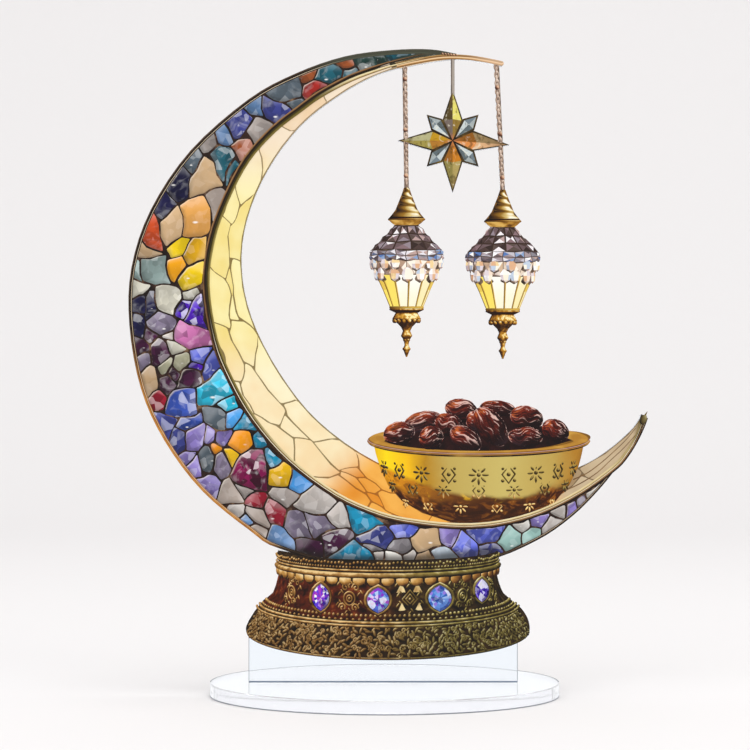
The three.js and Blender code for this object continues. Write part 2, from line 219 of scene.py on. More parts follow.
RIM_KNOTS = [
    (12.2, 191.5), (4.7, 189.7), (-1.4, 188), (-10.4, 184.7), (-19.4, 179.9), (-25.4, 175.6),
    (-33.3, 169.4), (-41.3, 160.4), (-47.6, 148.4), (-51.8, 136.4), (-53.4, 122.9), (-50.9, 106.4),
    (-46.2, 94.4), (-39.2, 82.4), (-28.7, 70.4), (-14.6, 59.9), (-1.4, 54.1), (9.2, 51.8),
    (22.7, 50.6), (34.7, 51.5), (46.7, 54.8), (58.7, 60.8), (68.3, 67.7), (72.2, 71.8),
    (75.8, 77.9), (77.7, 83.9),
]
LINE_STEPS = 4
GLASSES = {
    "bottle": ("#24453f", 0.5), "teal": ("#1f6272", 0.6), "slate": ("#58646e", 0.3),
    "rust": ("#a4562c", 0.3), "brick": ("#b52a22", 0.4), "steel": ("#6a8fbe", 0.3),
    "indigo": ("#414896", 0.5), "navy": ("#1c1a4a", 0.5), "smoke": ("#a89e98", 0.2),
    "tan": ("#d0ae84", 0.1), "amber": ("#e8a856", 0.1), "flame": ("#c84c20", 0.3),
    "lemon": ("#ffc80e", 0.2), "honey": ("#f8bc18", 0.15), "mist": ("#9ab0ac", 0.3),
    "reed": ("#b0ae92", 0.2), "pearl": ("#dcd8c6", 0.3), "violet": ("#5a1cd0", 1.0),
    "rose": ("#dba098", 0.2), "orchid": ("#e080c0", 0.5), "mauve": ("#8a7e96", 0.4),
    "plum": ("#4c1640", 0.7), "iris": ("#5c68d2", 0.5), "lilac": ("#9482cc", 0.4),
    "crimson": ("#b01a34", 0.5), "turquoise": ("#30cbee", 0.6), "lagoon": ("#1c9cc6", 0.6),
    "royal": ("#3a58bc", 0.6), "grape": ("#34255f", 0.6), "orange": ("#ff9f0e", 0.05),
    "ruby": ("#951058", 0.9), "sky": ("#4ba2ee", 0.2), "taupe": ("#b0a298", 0.1),
    "pewter": ("#8e888c", 0.3), "aqua": ("#aad4cc", 0.2), "ice": ("#bccad8", 0.2),
    "opal": ("#bfb7b1", 0.2), "chalk": ("#ece8e0", 0.1),
}
GLASS_AREAS = [
    ((5, 191), 3.5, "bottle teal bottle"), ((-12, 188.5), 4.5, "rust teal bottle"),
    ((-22, 183), 5, "brick slate rust"), ((-34, 176), 6, "steel slate smoke indigo"),
    ((-44, 172), 6.5, "indigo steel teal"), ((-51, 161), 6, "teal slate smoke rust"),
    ((-64, 149), 6.5, "navy navy mauve"), ((-54, 152), 7, "tan smoke tan taupe"),
    ((-52, 139), 8, "amber amber tan"), ((-70, 136), 6.5, "flame rust tan"),
    ((-61, 129), 4.6, "lemon lemon honey orange"), ((-69, 124), 6, "mist pearl mist"),
    ((-61, 120), 5.5, "reed pearl smoke mist"), ((-57, 115), 6, "violet violet smoke"),
    ((-70, 113), 4.5, "mauve navy teal smoke"), ((-57, 107), 5.5, "rose orchid rose"),
    ((-70, 104), 5, "plum plum mauve"), ((-53, 101), 5, "iris lilac iris violet"),
    ((-63, 102), 3.8, "reed violet pearl opal"), ((-68, 92), 5.5, "crimson plum tan"),
    ((-60, 94), 4.2, "mauve reed pearl slate plum"), ((-50, 90), 6.8, "turquoise lagoon turquoise"),
    ((-61, 84), 6, "royal grape indigo"), ((-43, 82), 7, "lagoon turquoise sky"),
    ((-53, 75), 5, "lilac slate orange lilac"), ((-43, 74), 6.5, "orange honey orange"),
    ((-36, 73), 6.5, "lagoon turquoise"), ((-47, 66), 5, "lilac mauve taupe opal"),
    ((-39, 68), 6, "rose ruby pearl"), ((-31, 66), 6.5, "honey lemon taupe"),
    ((-24, 64), 7.5, "sky sky steel"), ((-45, 58), 4.2, "taupe opal crimson smoke"),
    ((-30, 57), 6.5, "taupe smoke taupe opal"), ((-34, 51), 4.5, "crimson rust steel taupe"),
    ((-19, 56), 7.5, "taupe smoke opal"), ((-19, 47), 5.5, "violet plum mauve"),
    ((-8, 51), 7.5, "turquoise sky lagoon"), ((5, 48), 7, "iris lilac indigo violet"),
    ((3, 41), 4, "pewter opal tan chalk"), ((15, 45), 5.5, "opal ice tan chalk"),
    ((24, 46), 5, "indigo lilac iris opal"), ((38, 49), 4.6, "aqua ice indigo pewter chalk"),
    ((50, 56), 3.2, "ice pewter opal chalk lilac"), ((62, 64), 2.1, "pewter ice smoke chalk mauve"),
]
FIRST_TILES = [((-40.5, 67), 12, "ruby"), ((-43, 76), 6, "orange"), ((-31.5, 66.5), 6.5, "lemon"),
               ((-57, 114), 6, "violet"), ((-58, 126), 5.5, "lemon"), ((-43.2, 163.6), 4, "rust")]
CRESCENT_MIDDLE = (15, 120)
GRAIN_STRETCH = 1.5
GRAIN_WANDER = 2.6
GRAIN_PATCH = 13 * MM
TILE_SIZE_SPREAD = (1.25, 1.0, 0.8, 0.6, 0.42)
SCATTER_TRIES = 1200
TILE_SIZE_VARIES = (0.9, 1.1)
TILE_CLOSENESS = 0.47
LEAST_SHARE = 0.2
TILE_REACH = 2.2
LEADING = 0.48 * MM
LEADING_VARIES = (0.8, 1.3)
MOSAIC_MARGIN = 1.5 * MM
MOSAIC_TIP_MARGIN = 1.1 * MM
MOSAIC_TIP_FROM = 50 * MM
MOSAIC_BEND = (1.5 * MM, 5.5 * MM)
MOSAIC_BLANK = 2.0
BEND_HELD = 3 * MM
SEED = 11
TILE_UNDER_RIM = 0.95 * MM
TILE_MERGE = 0.35 * MM
TILE_CORNER = 0.4 * MM
TILE_SLOPE = 0.3 * MM
BLANK_SIDES = 14
TILES_AT_ONCE = 16
UPRIGHT = (math.pi / 2, 0, 0)


def cut_away(piece, unwanted):
    """Deletes the faces that the test picks"""
    edit(piece)
    bpy.ops.mesh.select_all(action="DESELECT")
    done()
    for face in piece.data.polygons:
        face.select = unwanted(face)
    bpy.ops.object.mode_set(mode="EDIT")
    bpy.ops.mesh.delete(type="FACE")
    done()


def press(pieces, heights):
    """Keeps what faces the viewer, remembers its form for the painting, and flattens it to heights"""
    depths = [v.co.y for piece in pieces for v in piece.data.vertices]
    near, far = min(depths), max(depths)
    for piece in pieces:
        cut_away(piece, lambda face: face.normal.y > TURNED_AWAY)
        edit(piece)
        bpy.ops.mesh.delete_loose()
        done()
        mesh = piece.data
        place = [0.0] * (3 * len(mesh.vertices))
        mesh.vertices.foreach_get("co", place)
        mesh.attributes.new("form_place", "FLOAT_VECTOR", "POINT").data.foreach_set("vector", place)
        normal = [0.0] * (3 * len(mesh.loops))
        mesh.corner_normals.foreach_get("vector", normal)
        mesh.attributes.new("form_normal", "FLOAT_VECTOR", "CORNER").data.foreach_set("vector", normal)
        for vertex in mesh.vertices:
            share = (far - vertex.co.y) / max(far - near, TINY)
            vertex.co.y = INK_MIDDLE - INK_REACH * (heights[0] + (heights[1] - heights[0]) * share)
        edit(piece)
        bpy.ops.mesh.extrude_region()
        bpy.ops.transform.resize(value=(1, -INK_BACK_SHARE, 1), center_override=(0, INK_MIDDLE, 0))
        bpy.ops.mesh.select_all(action="SELECT")
        bpy.ops.mesh.normals_make_consistent(inside=False)
        done()
        bpy.ops.object.shade_flat()


def hand_over(pieces, ink):
    """Finished pieces get their ink and go with the plaque"""
    for piece in pieces:
        piece.data.materials.clear()
        piece.data.materials.append(ink.material)
        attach(piece, "plaque")


def outline_of(node, name):
    """A printed area's own form as a piece of its own, its corners welded"""
    piece = new_piece(name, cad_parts[node].data.copy())
    edit(piece)
    bpy.ops.mesh.remove_doubles(threshold=TINY)
    done()
    return piece


def backing(node, name, ink):
    """A thin plate of one printed area's own outline, which lies behind what is drawn there"""
    piece = outline_of(node, name)
    press([piece], PLATES)
    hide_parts(node)
    hand_over([piece], ink)


class Ink:
    """A glossy printed colour, painted by nodes from the form that the piece had before pressing"""

    def __init__(self, name, roughness=0.4):
        self.material, self.tree, self.shader = new_material(name)
        self.shader.inputs["Roughness"].default_value = roughness
        self.shader.inputs["Specular IOR Level"].default_value = INK_SHEEN
        self.place = self.stored("form_place")
        self.normal = self.stored("form_normal")

    def make(self, kind, inputs, output=0, **settings):
        made = self.tree.nodes.new("ShaderNode" + kind)
        for name, value in settings.items():
            setattr(made, name, value)
        for key, value in inputs.items():
            if isinstance(value, bpy.types.NodeSocket):
                self.tree.links.new(value, made.inputs[key])
            else:
                made.inputs[key].default_value = value
        return made.outputs[output]

    def stored(self, name, output="Vector"):
        return self.make("Attribute", {}, output, attribute_name=name)

    def number(self, operation, *values):
        return self.make("Math", dict(enumerate(values)), operation=operation)

    def times(self, first, second):
        return self.number("MULTIPLY", first, second)

    def vector(self, operation, *values):
        output = "Value" if operation in ("DOT_PRODUCT", "LENGTH", "DISTANCE") else "Vector"
        inputs = {0: values[0], "Scale": values[1]} if operation == "SCALE" else dict(enumerate(values))
        return self.make("VectorMath", inputs, output, operation=operation)

    def part(self, vector, axis):
        return self.make("SeparateXYZ", {0: vector}, axis)

    def at(self, axis):
        """How far along an axis the form's own place is, in millimetres"""
        return self.number("DIVIDE", self.part(self.place, axis), MM)

    def clouds(self, scale, detail=2.0, stretch=(1, 1, 1), twist=0.0):
        """Soft noise from 0 to 1 over the form, of about scale patches to a millimetre"""
        place = self.vector("MULTIPLY", self.place, stretch)
        inputs = {"Vector": place, "Scale": scale / MM, "Detail": detail, "Distortion": twist}
        return self.make("TexNoise", inputs)

    def spread(self, value, low, high, to_low=0.0, to_high=1.0):
        """The value's way from low to high, as a way from to_low to to_high, eased at both ends"""
        if isinstance(low, (int, float)) and isinstance(high, (int, float)) and low > high:
            low, high, to_low, to_high = high, low, to_high, to_low
        inputs = {"Value": value, 1: low, 2: high, 3: to_low, 4: to_high}
        return self.make("MapRange", inputs, interpolation_type="SMOOTHSTEP")

    def over(self, axis, low, high, *levels):
        """The spread of the form's place along an axis, low and high in millimetres"""
        return self.spread(self.at(axis), low, high, *levels)

    def steps(self, value, *stops):
        """Colours that run into each other along the value, given as where each one is reached"""
        output = self.make("ValToRGB", {0: value})
        ramp = output.node.color_ramp
        while len(ramp.elements) < len(stops):
            ramp.elements.new(1.0)
        for element, (where, colour) in zip(ramp.elements, stops):
            element.position = where
            element.color = linear(colour)
        return output

    def mixed(self, share, first, second, mode="MIX"):
        first, second = (linear(c) if isinstance(c, str) else c for c in (first, second))
        return self.make("Mix", {0: share, 6: first, 7: second}, 2, data_type="RGBA", blend_type=mode)

    def lit(self, direction=KEY_LIGHT):
        """How much the form faces a light, from -1 to 1"""
        return self.vector("DOT_PRODUCT", self.normal, tuple(Vector(direction).normalized()))

    def metal(self, direction, wobble, scale, *stops):
        """Bands of reflected tones laid over the form by the way it faces"""
        facing = self.number("MULTIPLY_ADD", self.lit(direction), 0.5, 0.5)
        rough = self.number("SUBTRACT", self.clouds(scale), 0.5)
        return self.steps(self.number("MULTIPLY_ADD", rough, wobble, facing), *stops)

    def finish(self, colour):
        self.tree.links.new(colour, self.shader.inputs["Base Color"])
        return self


def mottled(name, scale, *stops, detail=2.0):
    """An ink whose tones run into each other in soft patches"""
    ink = Ink(name)
    return ink.finish(ink.steps(ink.clouds(scale, detail), *stops))


def metallic(name, direction, wobble, scale, *stops, roughness=0.4):
    """An ink that reads as metal, or as something else that mirrors its surroundings in bands"""
    ink = Ink(name, roughness)
    return ink.finish(ink.metal(direction, wobble, scale, *stops))


def flowing_line(knots):
    """The smooth line that runs through the knots"""
    points = [Vector(knot) * MM for knot in knots]
    line = []
    for i in range(len(points) - 1):
        start, end = points[i], points[i + 1]
        leave = (end - points[max(i - 1, 0)]) / 2
        arrive = (points[min(i + 2, len(points) - 1)] - start) / 2
        for k in range(LINE_STEPS):
            t = k / LINE_STEPS
            curve = (2 * start - 2 * end + leave + arrive) * t ** 3
            line.append(curve + (3 * end - 3 * start - 2 * leave - arrive) * t ** 2 + leave * t + start)
    return line + [points[-1]]


def nearest_on(line, spot):
    """The line's point nearest to a spot, and the way across the line there"""
    best = None
    for start, end in zip(line, line[1:]):
        stretch = end - start
        share = min(1, max(0, (spot - start).dot(stretch) / stretch.length_squared))
        point = start + share * stretch
        if best is None or (spot - point).length < (spot - best[0]).length:
            best = (point, Vector((-stretch.y, stretch.x)).normalized())
    return best


def scatter(areas, box, inside, chance, apart, first=()):
    """Tile middles, big ones first: each is its spot, its size and its glass"""
    low, high = box
    seeds = [(Vector(spot) * MM, size * MM, glass) for spot, size, glass in first]
    for spread in TILE_SIZE_SPREAD:
        for _ in range(SCATTER_TRIES):
            spot = Vector((chance.uniform(low.x, high.x), chance.uniform(low.z, high.z)))
            area = min(areas, key=lambda a: (spot - Vector(a[0]) * MM).length)
            size = area[1] * MM * spread * chance.uniform(*TILE_SIZE_VARIES)
            glass = chance.choice(area[2].split())
            if all(apart(spot, spot - s[0]) > TILE_CLOSENESS * (size + s[1]) for s in seeds) and inside(spot):
                seeds.append((spot, size, glass))
    return seeds


def fences(seed, seeds, gap, leaning):
    """Where a tile stops short of its neighbours: a point and the way out for each straight cut"""
    spot, size, _ = seed
    cuts = []
    for other_spot, other_size, _ in seeds:
        way = other_spot - spot
        if 0 < way.length < TILE_REACH * (size + other_size):
            leant = leaning(spot + way / 2, way)
            share = 0.5 + (size ** 2 - other_size ** 2) / (8 * way.dot(leant))
            share = min(1 - LEAST_SHARE, max(LEAST_SHARE, share))
            outward = leant.normalized()
            cuts.append((spot + way * share - outward * gap / 2, outward))
    return cuts


def shape_middle(piece):
    """The middle of what is selected in edit mode"""
    chosen = [v.co.copy() for v in bmesh.from_edit_mesh(piece.data).verts if v.select]
    return sum(chosen, Vector()) / len(chosen) if chosen else Vector()


def join(pieces, name):
    """Several pieces as one mesh"""
    only(*pieces)
    bpy.ops.object.join()
    bpy.context.object.name = name
    settle()
    return bpy.context.object


def cut_some_tiles(tiles, reach, number):
    """A mesh of a few tiles, numbered on their faces. Each is given as its seed and its cuts, and
    stands up with sloped sides."""
    bpy.ops.mesh.primitive_circle_add(vertices=3, radius=MM)
    piece = bpy.context.object
    edit(piece, "VERT")
    bpy.ops.mesh.delete(type="VERT")
    for (spot, size, _), cuts in tiles:
        bpy.ops.mesh.primitive_circle_add(
            vertices=BLANK_SIDES, radius=size * reach, fill_type="NGON", rotation=UPRIGHT,
            location=(spot.x, 0, spot.y))
        for point, outward in cuts:
            if (point - spot).dot(outward) > size * reach:
                continue
            bpy.ops.mesh.select_all(action="SELECT")
            bpy.ops.mesh.bisect(
                plane_co=(point.x, 0, point.y), plane_no=(outward.x, 0, outward.y), clear_outer=True)
        bpy.ops.mesh.select_all(action="SELECT")
        bpy.ops.mesh.remove_doubles(threshold=TILE_MERGE)
        bpy.ops.mesh.bevel(affect="VERTICES", offset=TILE_CORNER, segments=2, clamp_overlap=True)
        bpy.ops.mesh.subdivide(number_cuts=2)
        bpy.ops.mesh.select_mode(type="FACE")
        bpy.ops.mesh.select_all(action="SELECT")
        middle = shape_middle(piece)
        for rise, narrower in ((TILE_SLOPE, 1 - 2 * TILE_SLOPE / size), (TILE_SLOPE / 3, 0.6)):
            bpy.ops.mesh.extrude_region()
            bpy.ops.transform.translate(value=(0, -rise, 0))
            bpy.ops.transform.resize(value=(narrower, 1, narrower), center_override=middle)
        bpy.ops.mesh.select_all(action="SELECT")
        cells = bmesh.from_edit_mesh(piece.data).faces
        numbers = cells.layers.int.get("tile") or cells.layers.int.new("tile")
        for cell in cells:
            if cell.select:
                cell[numbers] = number
        number += 1
        bpy.ops.mesh.select_mode(type="VERT")
        bpy.ops.mesh.hide()
    bpy.ops.mesh.reveal()
    done()
    bpy.ops.object.shade_smooth()
    return piece


def cut_tiles(name, tiles, reach):
    """All the tiles as one mesh, from blanks that reach so many times a tile's size"""
    starts = range(0, len(tiles), TILES_AT_ONCE)
    return join([cut_some_tiles(tiles[i:i + TILES_AT_ONCE], reach, i) for i in starts], name)


def mark_tiles(piece, seeds, chance):
    """Stores each tile's colour, middle, size and sparkle on its faces, for the painting"""
    colours = piece.data.attributes.new("tile_colour", "FLOAT_COLOR", "FACE")
    middles = piece.data.attributes.new("tile_middle", "FLOAT_VECTOR", "FACE")
    builds = piece.data.attributes.new("tile_build", "FLOAT_VECTOR", "FACE")
    shades = [chance.uniform(0.8, 1.25) for _ in seeds]
    for i, face in enumerate(piece.data.polygons):
        own = piece.data.attributes["tile"].data[i].value
        middle, size, glass = seeds[own]
        colour, sparkle = GLASSES[glass]
        colours.data[i].color = [min(1, part * shades[own]) for part in linear(colour)[:3]] + [1]
        middles.data[i].vector = (middle.x, 0, middle.y)
        builds.data[i].vector = (size, sparkle, 0)


outer_line = flowing_line(OUTER_KNOTS)
rim_line = flowing_line(RIM_KNOTS)


def bend(piece, reach, patch, held_at):
    """Bends the straight cuts into gentle curves that neighbours share, less so near a line"""
    for vertex in piece.data.vertices:
        spot = Vector((vertex.co.x, vertex.co.z))
        free = min(1, abs(inward(held_at, spot)) / BEND_HELD)
        sway = noise.noise_vector(Vector((vertex.co.x, 0, vertex.co.z)) / patch) * reach * free
        vertex.co.x += sway.x
        vertex.co.z += sway.z


def inward(line, spot):
    point, across = nearest_on(line, spot)
    return (spot - point).dot(across)


def in_mosaic(spot):
    margin = MOSAIC_TIP_MARGIN if spot.x > MOSAIC_TIP_FROM else MOSAIC_MARGIN
    return inward(outer_line, spot) > margin and inward(rim_line, spot) < -margin


def along_grain(spot, way):
    """The parts of a way along and across the tiles' grain, which wanders about the crescent's own line"""
    grain = spot - Vector(CRESCENT_MIDDLE) * MM
    grain.rotate(Matrix.Rotation(math.pi / 2 + GRAIN_WANDER * noise.noise(spot.to_3d() / GRAIN_PATCH), 2))
    along = way.project(grain)
    return along, way - along


def mosaic_apart(spot, way):
    along, across = along_grain(spot, way)
    return (along / GRAIN_STRETCH ** 0.5 + across * GRAIN_STRETCH ** 0.5).length


def mosaic_leaning(spot, way):
    along, across = along_grain(spot, way)
    return along / GRAIN_STRETCH + across * GRAIN_STRETCH


chance = random.Random(SEED)
noise.seed_set(SEED)
mosaic_seeds = scatter(GLASS_AREAS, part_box("print_mosaic"), in_mosaic, chance, mosaic_apart, FIRST_TILES)
mosaic_cuts = []
for seed in mosaic_seeds:
    outer_point, outer_across = nearest_on(outer_line, seed[0])
    rim_point, rim_across = nearest_on(rim_line, seed[0])
    edges = [(outer_point + outer_across * TILE_UNDER_RIM, -outer_across),
             (rim_point - rim_across * TILE_UNDER_RIM, rim_across)]
    gap = LEADING * chance.uniform(*LEADING_VARIES)
    mosaic_cuts.append((seed, fences(seed, mosaic_seeds, gap, mosaic_leaning) + edges))
mosaic = cut_tiles("mosaic_tiles", mosaic_cuts, MOSAIC_BLANK)
mark_tiles(mosaic, mosaic_seeds, chance)
bend(mosaic, *MOSAIC_BEND, outer_line)
press([mosaic], CELLS)

leading = Ink("dark_leading")
lead_tone = leading.steps(leading.clouds(0.3, 3), (0.4, "#160c07"), (0.6, "#38231a"), (0.74, "#8a6c50"))
leading.finish(leading.mixed(leading.over("Z", 187, 191), lead_tone, "#1c3432"))
backing("print_mosaic", "mosaic_leading", leading)

glass = Ink("mosaic_glass", roughness=0.3)
tile_size = glass.part(glass.stored("tile_build"), "X")
sparkle = glass.part(glass.stored("tile_build"), "Y")
tile_middle = glass.stored("tile_middle")
local = glass.vector("DIVIDE", glass.vector("SUBTRACT", glass.place, tile_middle),
                     glass.make("CombineXYZ", {0: tile_size, 1: tile_size, 2: tile_size}))
whim = glass.make("TexWhiteNoise", {"Vector": glass.vector("SCALE", tile_middle, 1 / MM)}, "Color")
lean = glass.vector("SUBTRACT", whim, (0.5, 0.5, 0.5))
gradient_way = glass.vector("NORMALIZE", glass.vector("ADD", lean, (-0.1, 0, 0.3)))
slant = glass.vector("DOT_PRODUCT", local, gradient_way)
shifted = glass.vector("ADD", glass.place, whim)
streaks = glass.make("TexNoise", {"Vector": shifted, "Scale": GLASS_STREAKS, "Detail": 3.0,
                                  "Distortion": 1.2})
facets = glass.part(glass.make("TexVoronoi", {"Vector": shifted, "Scale": GLASS_FACETS}, "Color"), "X")
facet_light = glass.steps(facets, (0.0, "#3c3c3c"), (0.35, "#b0b0b0"), (0.7, "#ffffff"))
body = glass.mixed(1.0, glass.stored("tile_colour", "Color"),
                   glass.mixed(sparkle, (1, 1, 1, 1), facet_light), "MULTIPLY")
# Painted light: each tile is lighter towards one side, as if lit from within, and darker towards the other.
lighter = glass.mixed(0.32, body, (1, 1, 1, 1))
darker = glass.mixed(0.3, body, (0, 0, 0, 1))
body = glass.mixed(glass.spread(slant, -0.4, 0.5), darker, body)
body = glass.mixed(glass.spread(slant, 0.15, 0.5, 0.0, 0.35), body, lighter)
streak_strength = glass.number("MULTIPLY_ADD", sparkle, 0.75, 0.08)
streak = glass.times(glass.spread(streaks, 0.52, 0.72), streak_strength)
body = glass.mixed(streak, body, lighter)
gem_flash = glass.times(glass.spread(facets, 0.8, 0.86, 0.0, 0.75), sparkle)
body = glass.mixed(gem_flash, body, glass.mixed(0.65, body, (1, 1, 1, 1)))
# Painted shade: where a tile's sloped edge turns away from the key light it goes nearly black.
body = glass.mixed(glass.spread(glass.lit(), 0.25, 0.6, 0.35, 0.0), body, (0.02, 0.015, 0.01, 1))
# Painted glint: a small white highlight on some of the tiles.
glint_at = glass.vector("MULTIPLY", glass.vector("ADD", local, glass.vector("SCALE", lean, 0.5)),
                       (1.0, 0.0, 2.2))
glint_strength = glass.spread(glass.part(whim, "Z"), 0.72, 0.95, 0.0, 0.8)
spot = glass.times(glass.spread(glass.vector("LENGTH", glint_at), 0.03, 0.12, 1.0, 0.0), glint_strength)
# Painted highlight: a pale rim on the edges of some tiles that face a light from the upper left.
lit_edge_highlight = glass.spread(glass.lit((-0.6, -0.35, 0.7)), 0.6, 0.82, 0.0, 0.6)
lit_edge_highlight = glass.times(lit_edge_highlight, glass.spread(glass.part(whim, "X"), 0.3, 0.6))
body = glass.mixed(lit_edge_highlight, body, glass.mixed(0.7, body, "#fff4e4"))
body = glass.mixed(spot, body, (1, 0.98, 0.95, 1))
aside = glass.number("POWER", glass.at("X"), 2.0)
over_plinth = glass.number("SUBTRACT", glass.at("Z"), glass.number("MULTIPLY_ADD", aside, 0.0027, 40.5))
in_shade = glass.times(glass.spread(over_plinth, 2.8, 0.2, 0.0, 0.75), glass.spread(aside, 1300, 1050))
glass.finish(glass.mixed(in_shade, body, "#1c1612"))
hand_over([mosaic], glass)

# The crescent's lit inner face: cream glass in long pieces that follow the curve, between fine brown
# lines. It glows yellow on the left, turns to peach and orange by the bowl, and taupe at the tip.
INNER_KNOTS = [
    (5.8, 188.3), (-2.9, 185.6), (-13.3, 179.9), (-25.1, 170.6), (-34.9, 157.4), (-41.2, 142.4),
    (-42.8, 128), (-39.8, 113), (-31.6, 96.8), (-19.9, 82.1), (-2.9, 70.1), (16.6, 63.2),
    (40.6, 62.9), (58, 68.2), (67, 73.4), (73.6, 79.1), (76, 82.1), (77, 83.9),
]
CREAM_AREAS = [((-5, 185), 3.4, "pearl"), ((-30, 168), 4.4, "pearl"), ((-47, 130), 5.6, "pearl"),
               ((-35, 92), 5.8, "pearl"), ((-5, 65), 5.6, "pearl"), ((65, 70), 8, "pearl")]
CREAM_STRETCH = 2.7
CREAM_LINE = 0.38 * MM
CREAM_UNDER_RIM = 0.4 * MM
CREAM_PAST_EDGE = 1.4 * MM
CREAM_BORDER = 0.45 * MM
CREAM_LINE_VARIES = (0.7, 1.3)
CREAM_CLOSENESS = 1.25
CREAM_RIM_MARGIN = 1.7 * MM
CREAM_INNER_MARGIN = 0.6 * MM
CREAM_BEND = (1.7 * MM, 7 * MM)
CREAM_BLANK = 3.0

inner_line = flowing_line(INNER_KNOTS)


def along_and_across(spot, way):
    across = nearest_on(inner_line, spot)[1]
    along = Vector((across.y, -across.x))
    return along * way.dot(along) / CREAM_STRETCH, across * way.dot(across)


def cream_apart(spot, way):
    along, across = along_and_across(spot, way)
    return (along + across).length * CREAM_CLOSENESS


def cream_leaning(spot, way):
    along, across = along_and_across(spot, way)
    return along / CREAM_STRETCH + across


def in_cream(spot):
    return inward(rim_line, spot) > CREAM_RIM_MARGIN and inward(inner_line, spot) < -CREAM_INNER_MARGIN


cream_low, cream_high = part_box("print_cream_face")
cream_box = (cream_low, Vector((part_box("print_cream_tip")[1].x, 0, cream_high.z)))
cream_seeds = scatter(CREAM_AREAS, cream_box, in_cream, chance, cream_apart)
cream_cuts = []
for seed in cream_seeds:
    cuts = fences(seed, cream_seeds, CREAM_LINE * chance.uniform(*CREAM_LINE_VARIES), cream_leaning)
    for k in (-1, 0, 1):
        across = nearest_on(inner_line, seed[0])[1]
        beside = seed[0] + Vector((across.y, -across.x)) * k * seed[1] / 2
        inner_point, inner_across = nearest_on(inner_line, beside)
        rim_point, rim_across = nearest_on(rim_line, beside)
        cuts.append((rim_point + rim_across * CREAM_UNDER_RIM, -rim_across))
        if k == 0:
            cuts.append((inner_point + inner_across * CREAM_PAST_EDGE, inner_across))
    cream_cuts.append((seed, cuts))
cream = cut_tiles("cream_cells", cream_cuts, CREAM_BLANK)
mark_tiles(cream, cream_seeds, chance)
bend(cream, *CREAM_BEND, inner_line)
for vertex in cream.data.vertices:
    spot = Vector((vertex.co.x, vertex.co.z))
    across = nearest_on(inner_line, spot)[1] * max(0, inward(inner_line, spot) + CREAM_BORDER)
    vertex.co.x -= across.x
    vertex.co.z -= across.y
press([cream], CELLS)


def cream_tone(ink, top, glow, low, by_bowl, tip):
    """The colour's run round the crescent, from the top horn down the left and up to the right tip"""
    height = ink.at("Z")
    across = ink.at("X")
    colour = ink.mixed(ink.spread(height, 168, 146), top, glow)
    colour = ink.mixed(ink.spread(height, 112, 92), colour, low)
    colour = ink.mixed(ink.spread(ink.number("SUBTRACT", across, height), -90, -70), colour, by_bowl)
    colour = ink.mixed(ink.spread(across, 45, 56), colour, tip)
    return ink.mixed(ink.spread(across, 74, 77), colour, "#6a5830")


cream_lines = Ink("cream_lines")
line_tone = cream_tone(cream_lines, "#a08a68", "#8a7644", "#907e56", "#a8641c", "#7a6448")
cream_lines.finish(line_tone)
backing("print_cream_face", "cream_face_lines", cream_lines)
backing("print_cream_tip", "cream_tip_lines", cream_lines)

cream_glass = Ink("cream_glass", roughness=0.35)
cell_middle = cream_glass.vector("SCALE", cream_glass.stored("tile_middle"), 1 / MM)
cell_whim = cream_glass.make("TexWhiteNoise", {"Vector": cell_middle}, "Color")
pale = cream_tone(cream_glass, "#f4e2c8", "#fbf1b4", "#fbf2cc", "#f6b450", "#ccb694")
deep = cream_tone(cream_glass, "#eccca2", "#f1da80", "#f6daa8", "#e08618", "#a0845e")
wash = cream_glass.number("MULTIPLY_ADD", cream_glass.clouds(0.12, 2), 0.7,
                          cream_glass.times(cream_glass.part(cell_whim, "X"), 0.45))
cream_colour = cream_glass.mixed(cream_glass.spread(wash, 0.35, 0.95), pale, deep)
cream_shade = cream_glass.spread(cream_glass.lit(), 0.25, 0.6, 0.25, 0.0)
cream_colour = cream_glass.mixed(cream_shade, cream_colour, deep)
cream_glass.finish(cream_colour)
hand_over([cream], cream_glass)

# The crescent's metal rims: round rods of bronze side by side. The outer one is dark with a gilt bead
# inside it, and the middle one parts the mosaic from the cream face with a dark and an olive rod.
RIMS = (0.84, 0.96)
OUTER_RIM = (0.22, 0.3)
LEAF_LINES_LAYER = (0.24, 0.3)
OUTER_RODS = [("outer_rim_dark", 0.5, 0.2, 0.52, 0.2), ("outer_rim_gilt", 1.1, 0.42, 0.1, 0.06),
              ("outer_rim_inside", 1.32, 0.52, 0.16, 0.08)]
MIDDLE_RODS = [("middle_rim_dark", -0.6, -0.5, 0.52, 0.38), ("middle_rim_line", 0.02, 0.0, 0.14, 0.12),
               ("middle_rim_olive", 0.62, 0.45, 0.5, 0.42)]
RIM_TAPERS = (12, 10)
LEAF_LINES = [[(51.7, 60.3), (58.2, 63.2), (63.6, 66.6), (67.4, 70.1), (71.6, 74), (75.2, 78)],
              [(56.5, 64.6), (60.6, 66.5), (64.6, 69.4), (68.6, 72.9), (72.4, 76.6), (75.2, 80)]]
LEAF_LINE_RADII = (0.17 * MM, 0.085 * MM)
TIP_PLACE = (77.5 * MM, 0, 82.5 * MM)
TIP_RADII = (1.0, 1.0, 1.55)
TIP_LEAN = math.radians(24)
TIP_RODS = [("horn_tip_dark", [(11.6, 191.6), (15, 192.2), (18.5, 192.3), (21.6, 191.9)], 0.55, 0.2),
            ("horn_tip_gilt", [(12.6, 191.1), (16, 191.75), (19, 191.85)], 0.16, 0.1)]


def beside_line(line, start, end):
    """The line moved inwards by a distance that goes evenly from its start's value to its end's"""
    moved = []
    for i, point in enumerate(line):
        way = (line[min(i + 1, len(line) - 1)] - line[max(i - 1, 0)]).normalized()
        aside = (start + (end - start) * i / (len(line) - 1)) * MM
        moved.append(point + Vector((-way.y, way.x)) * aside)
    return moved


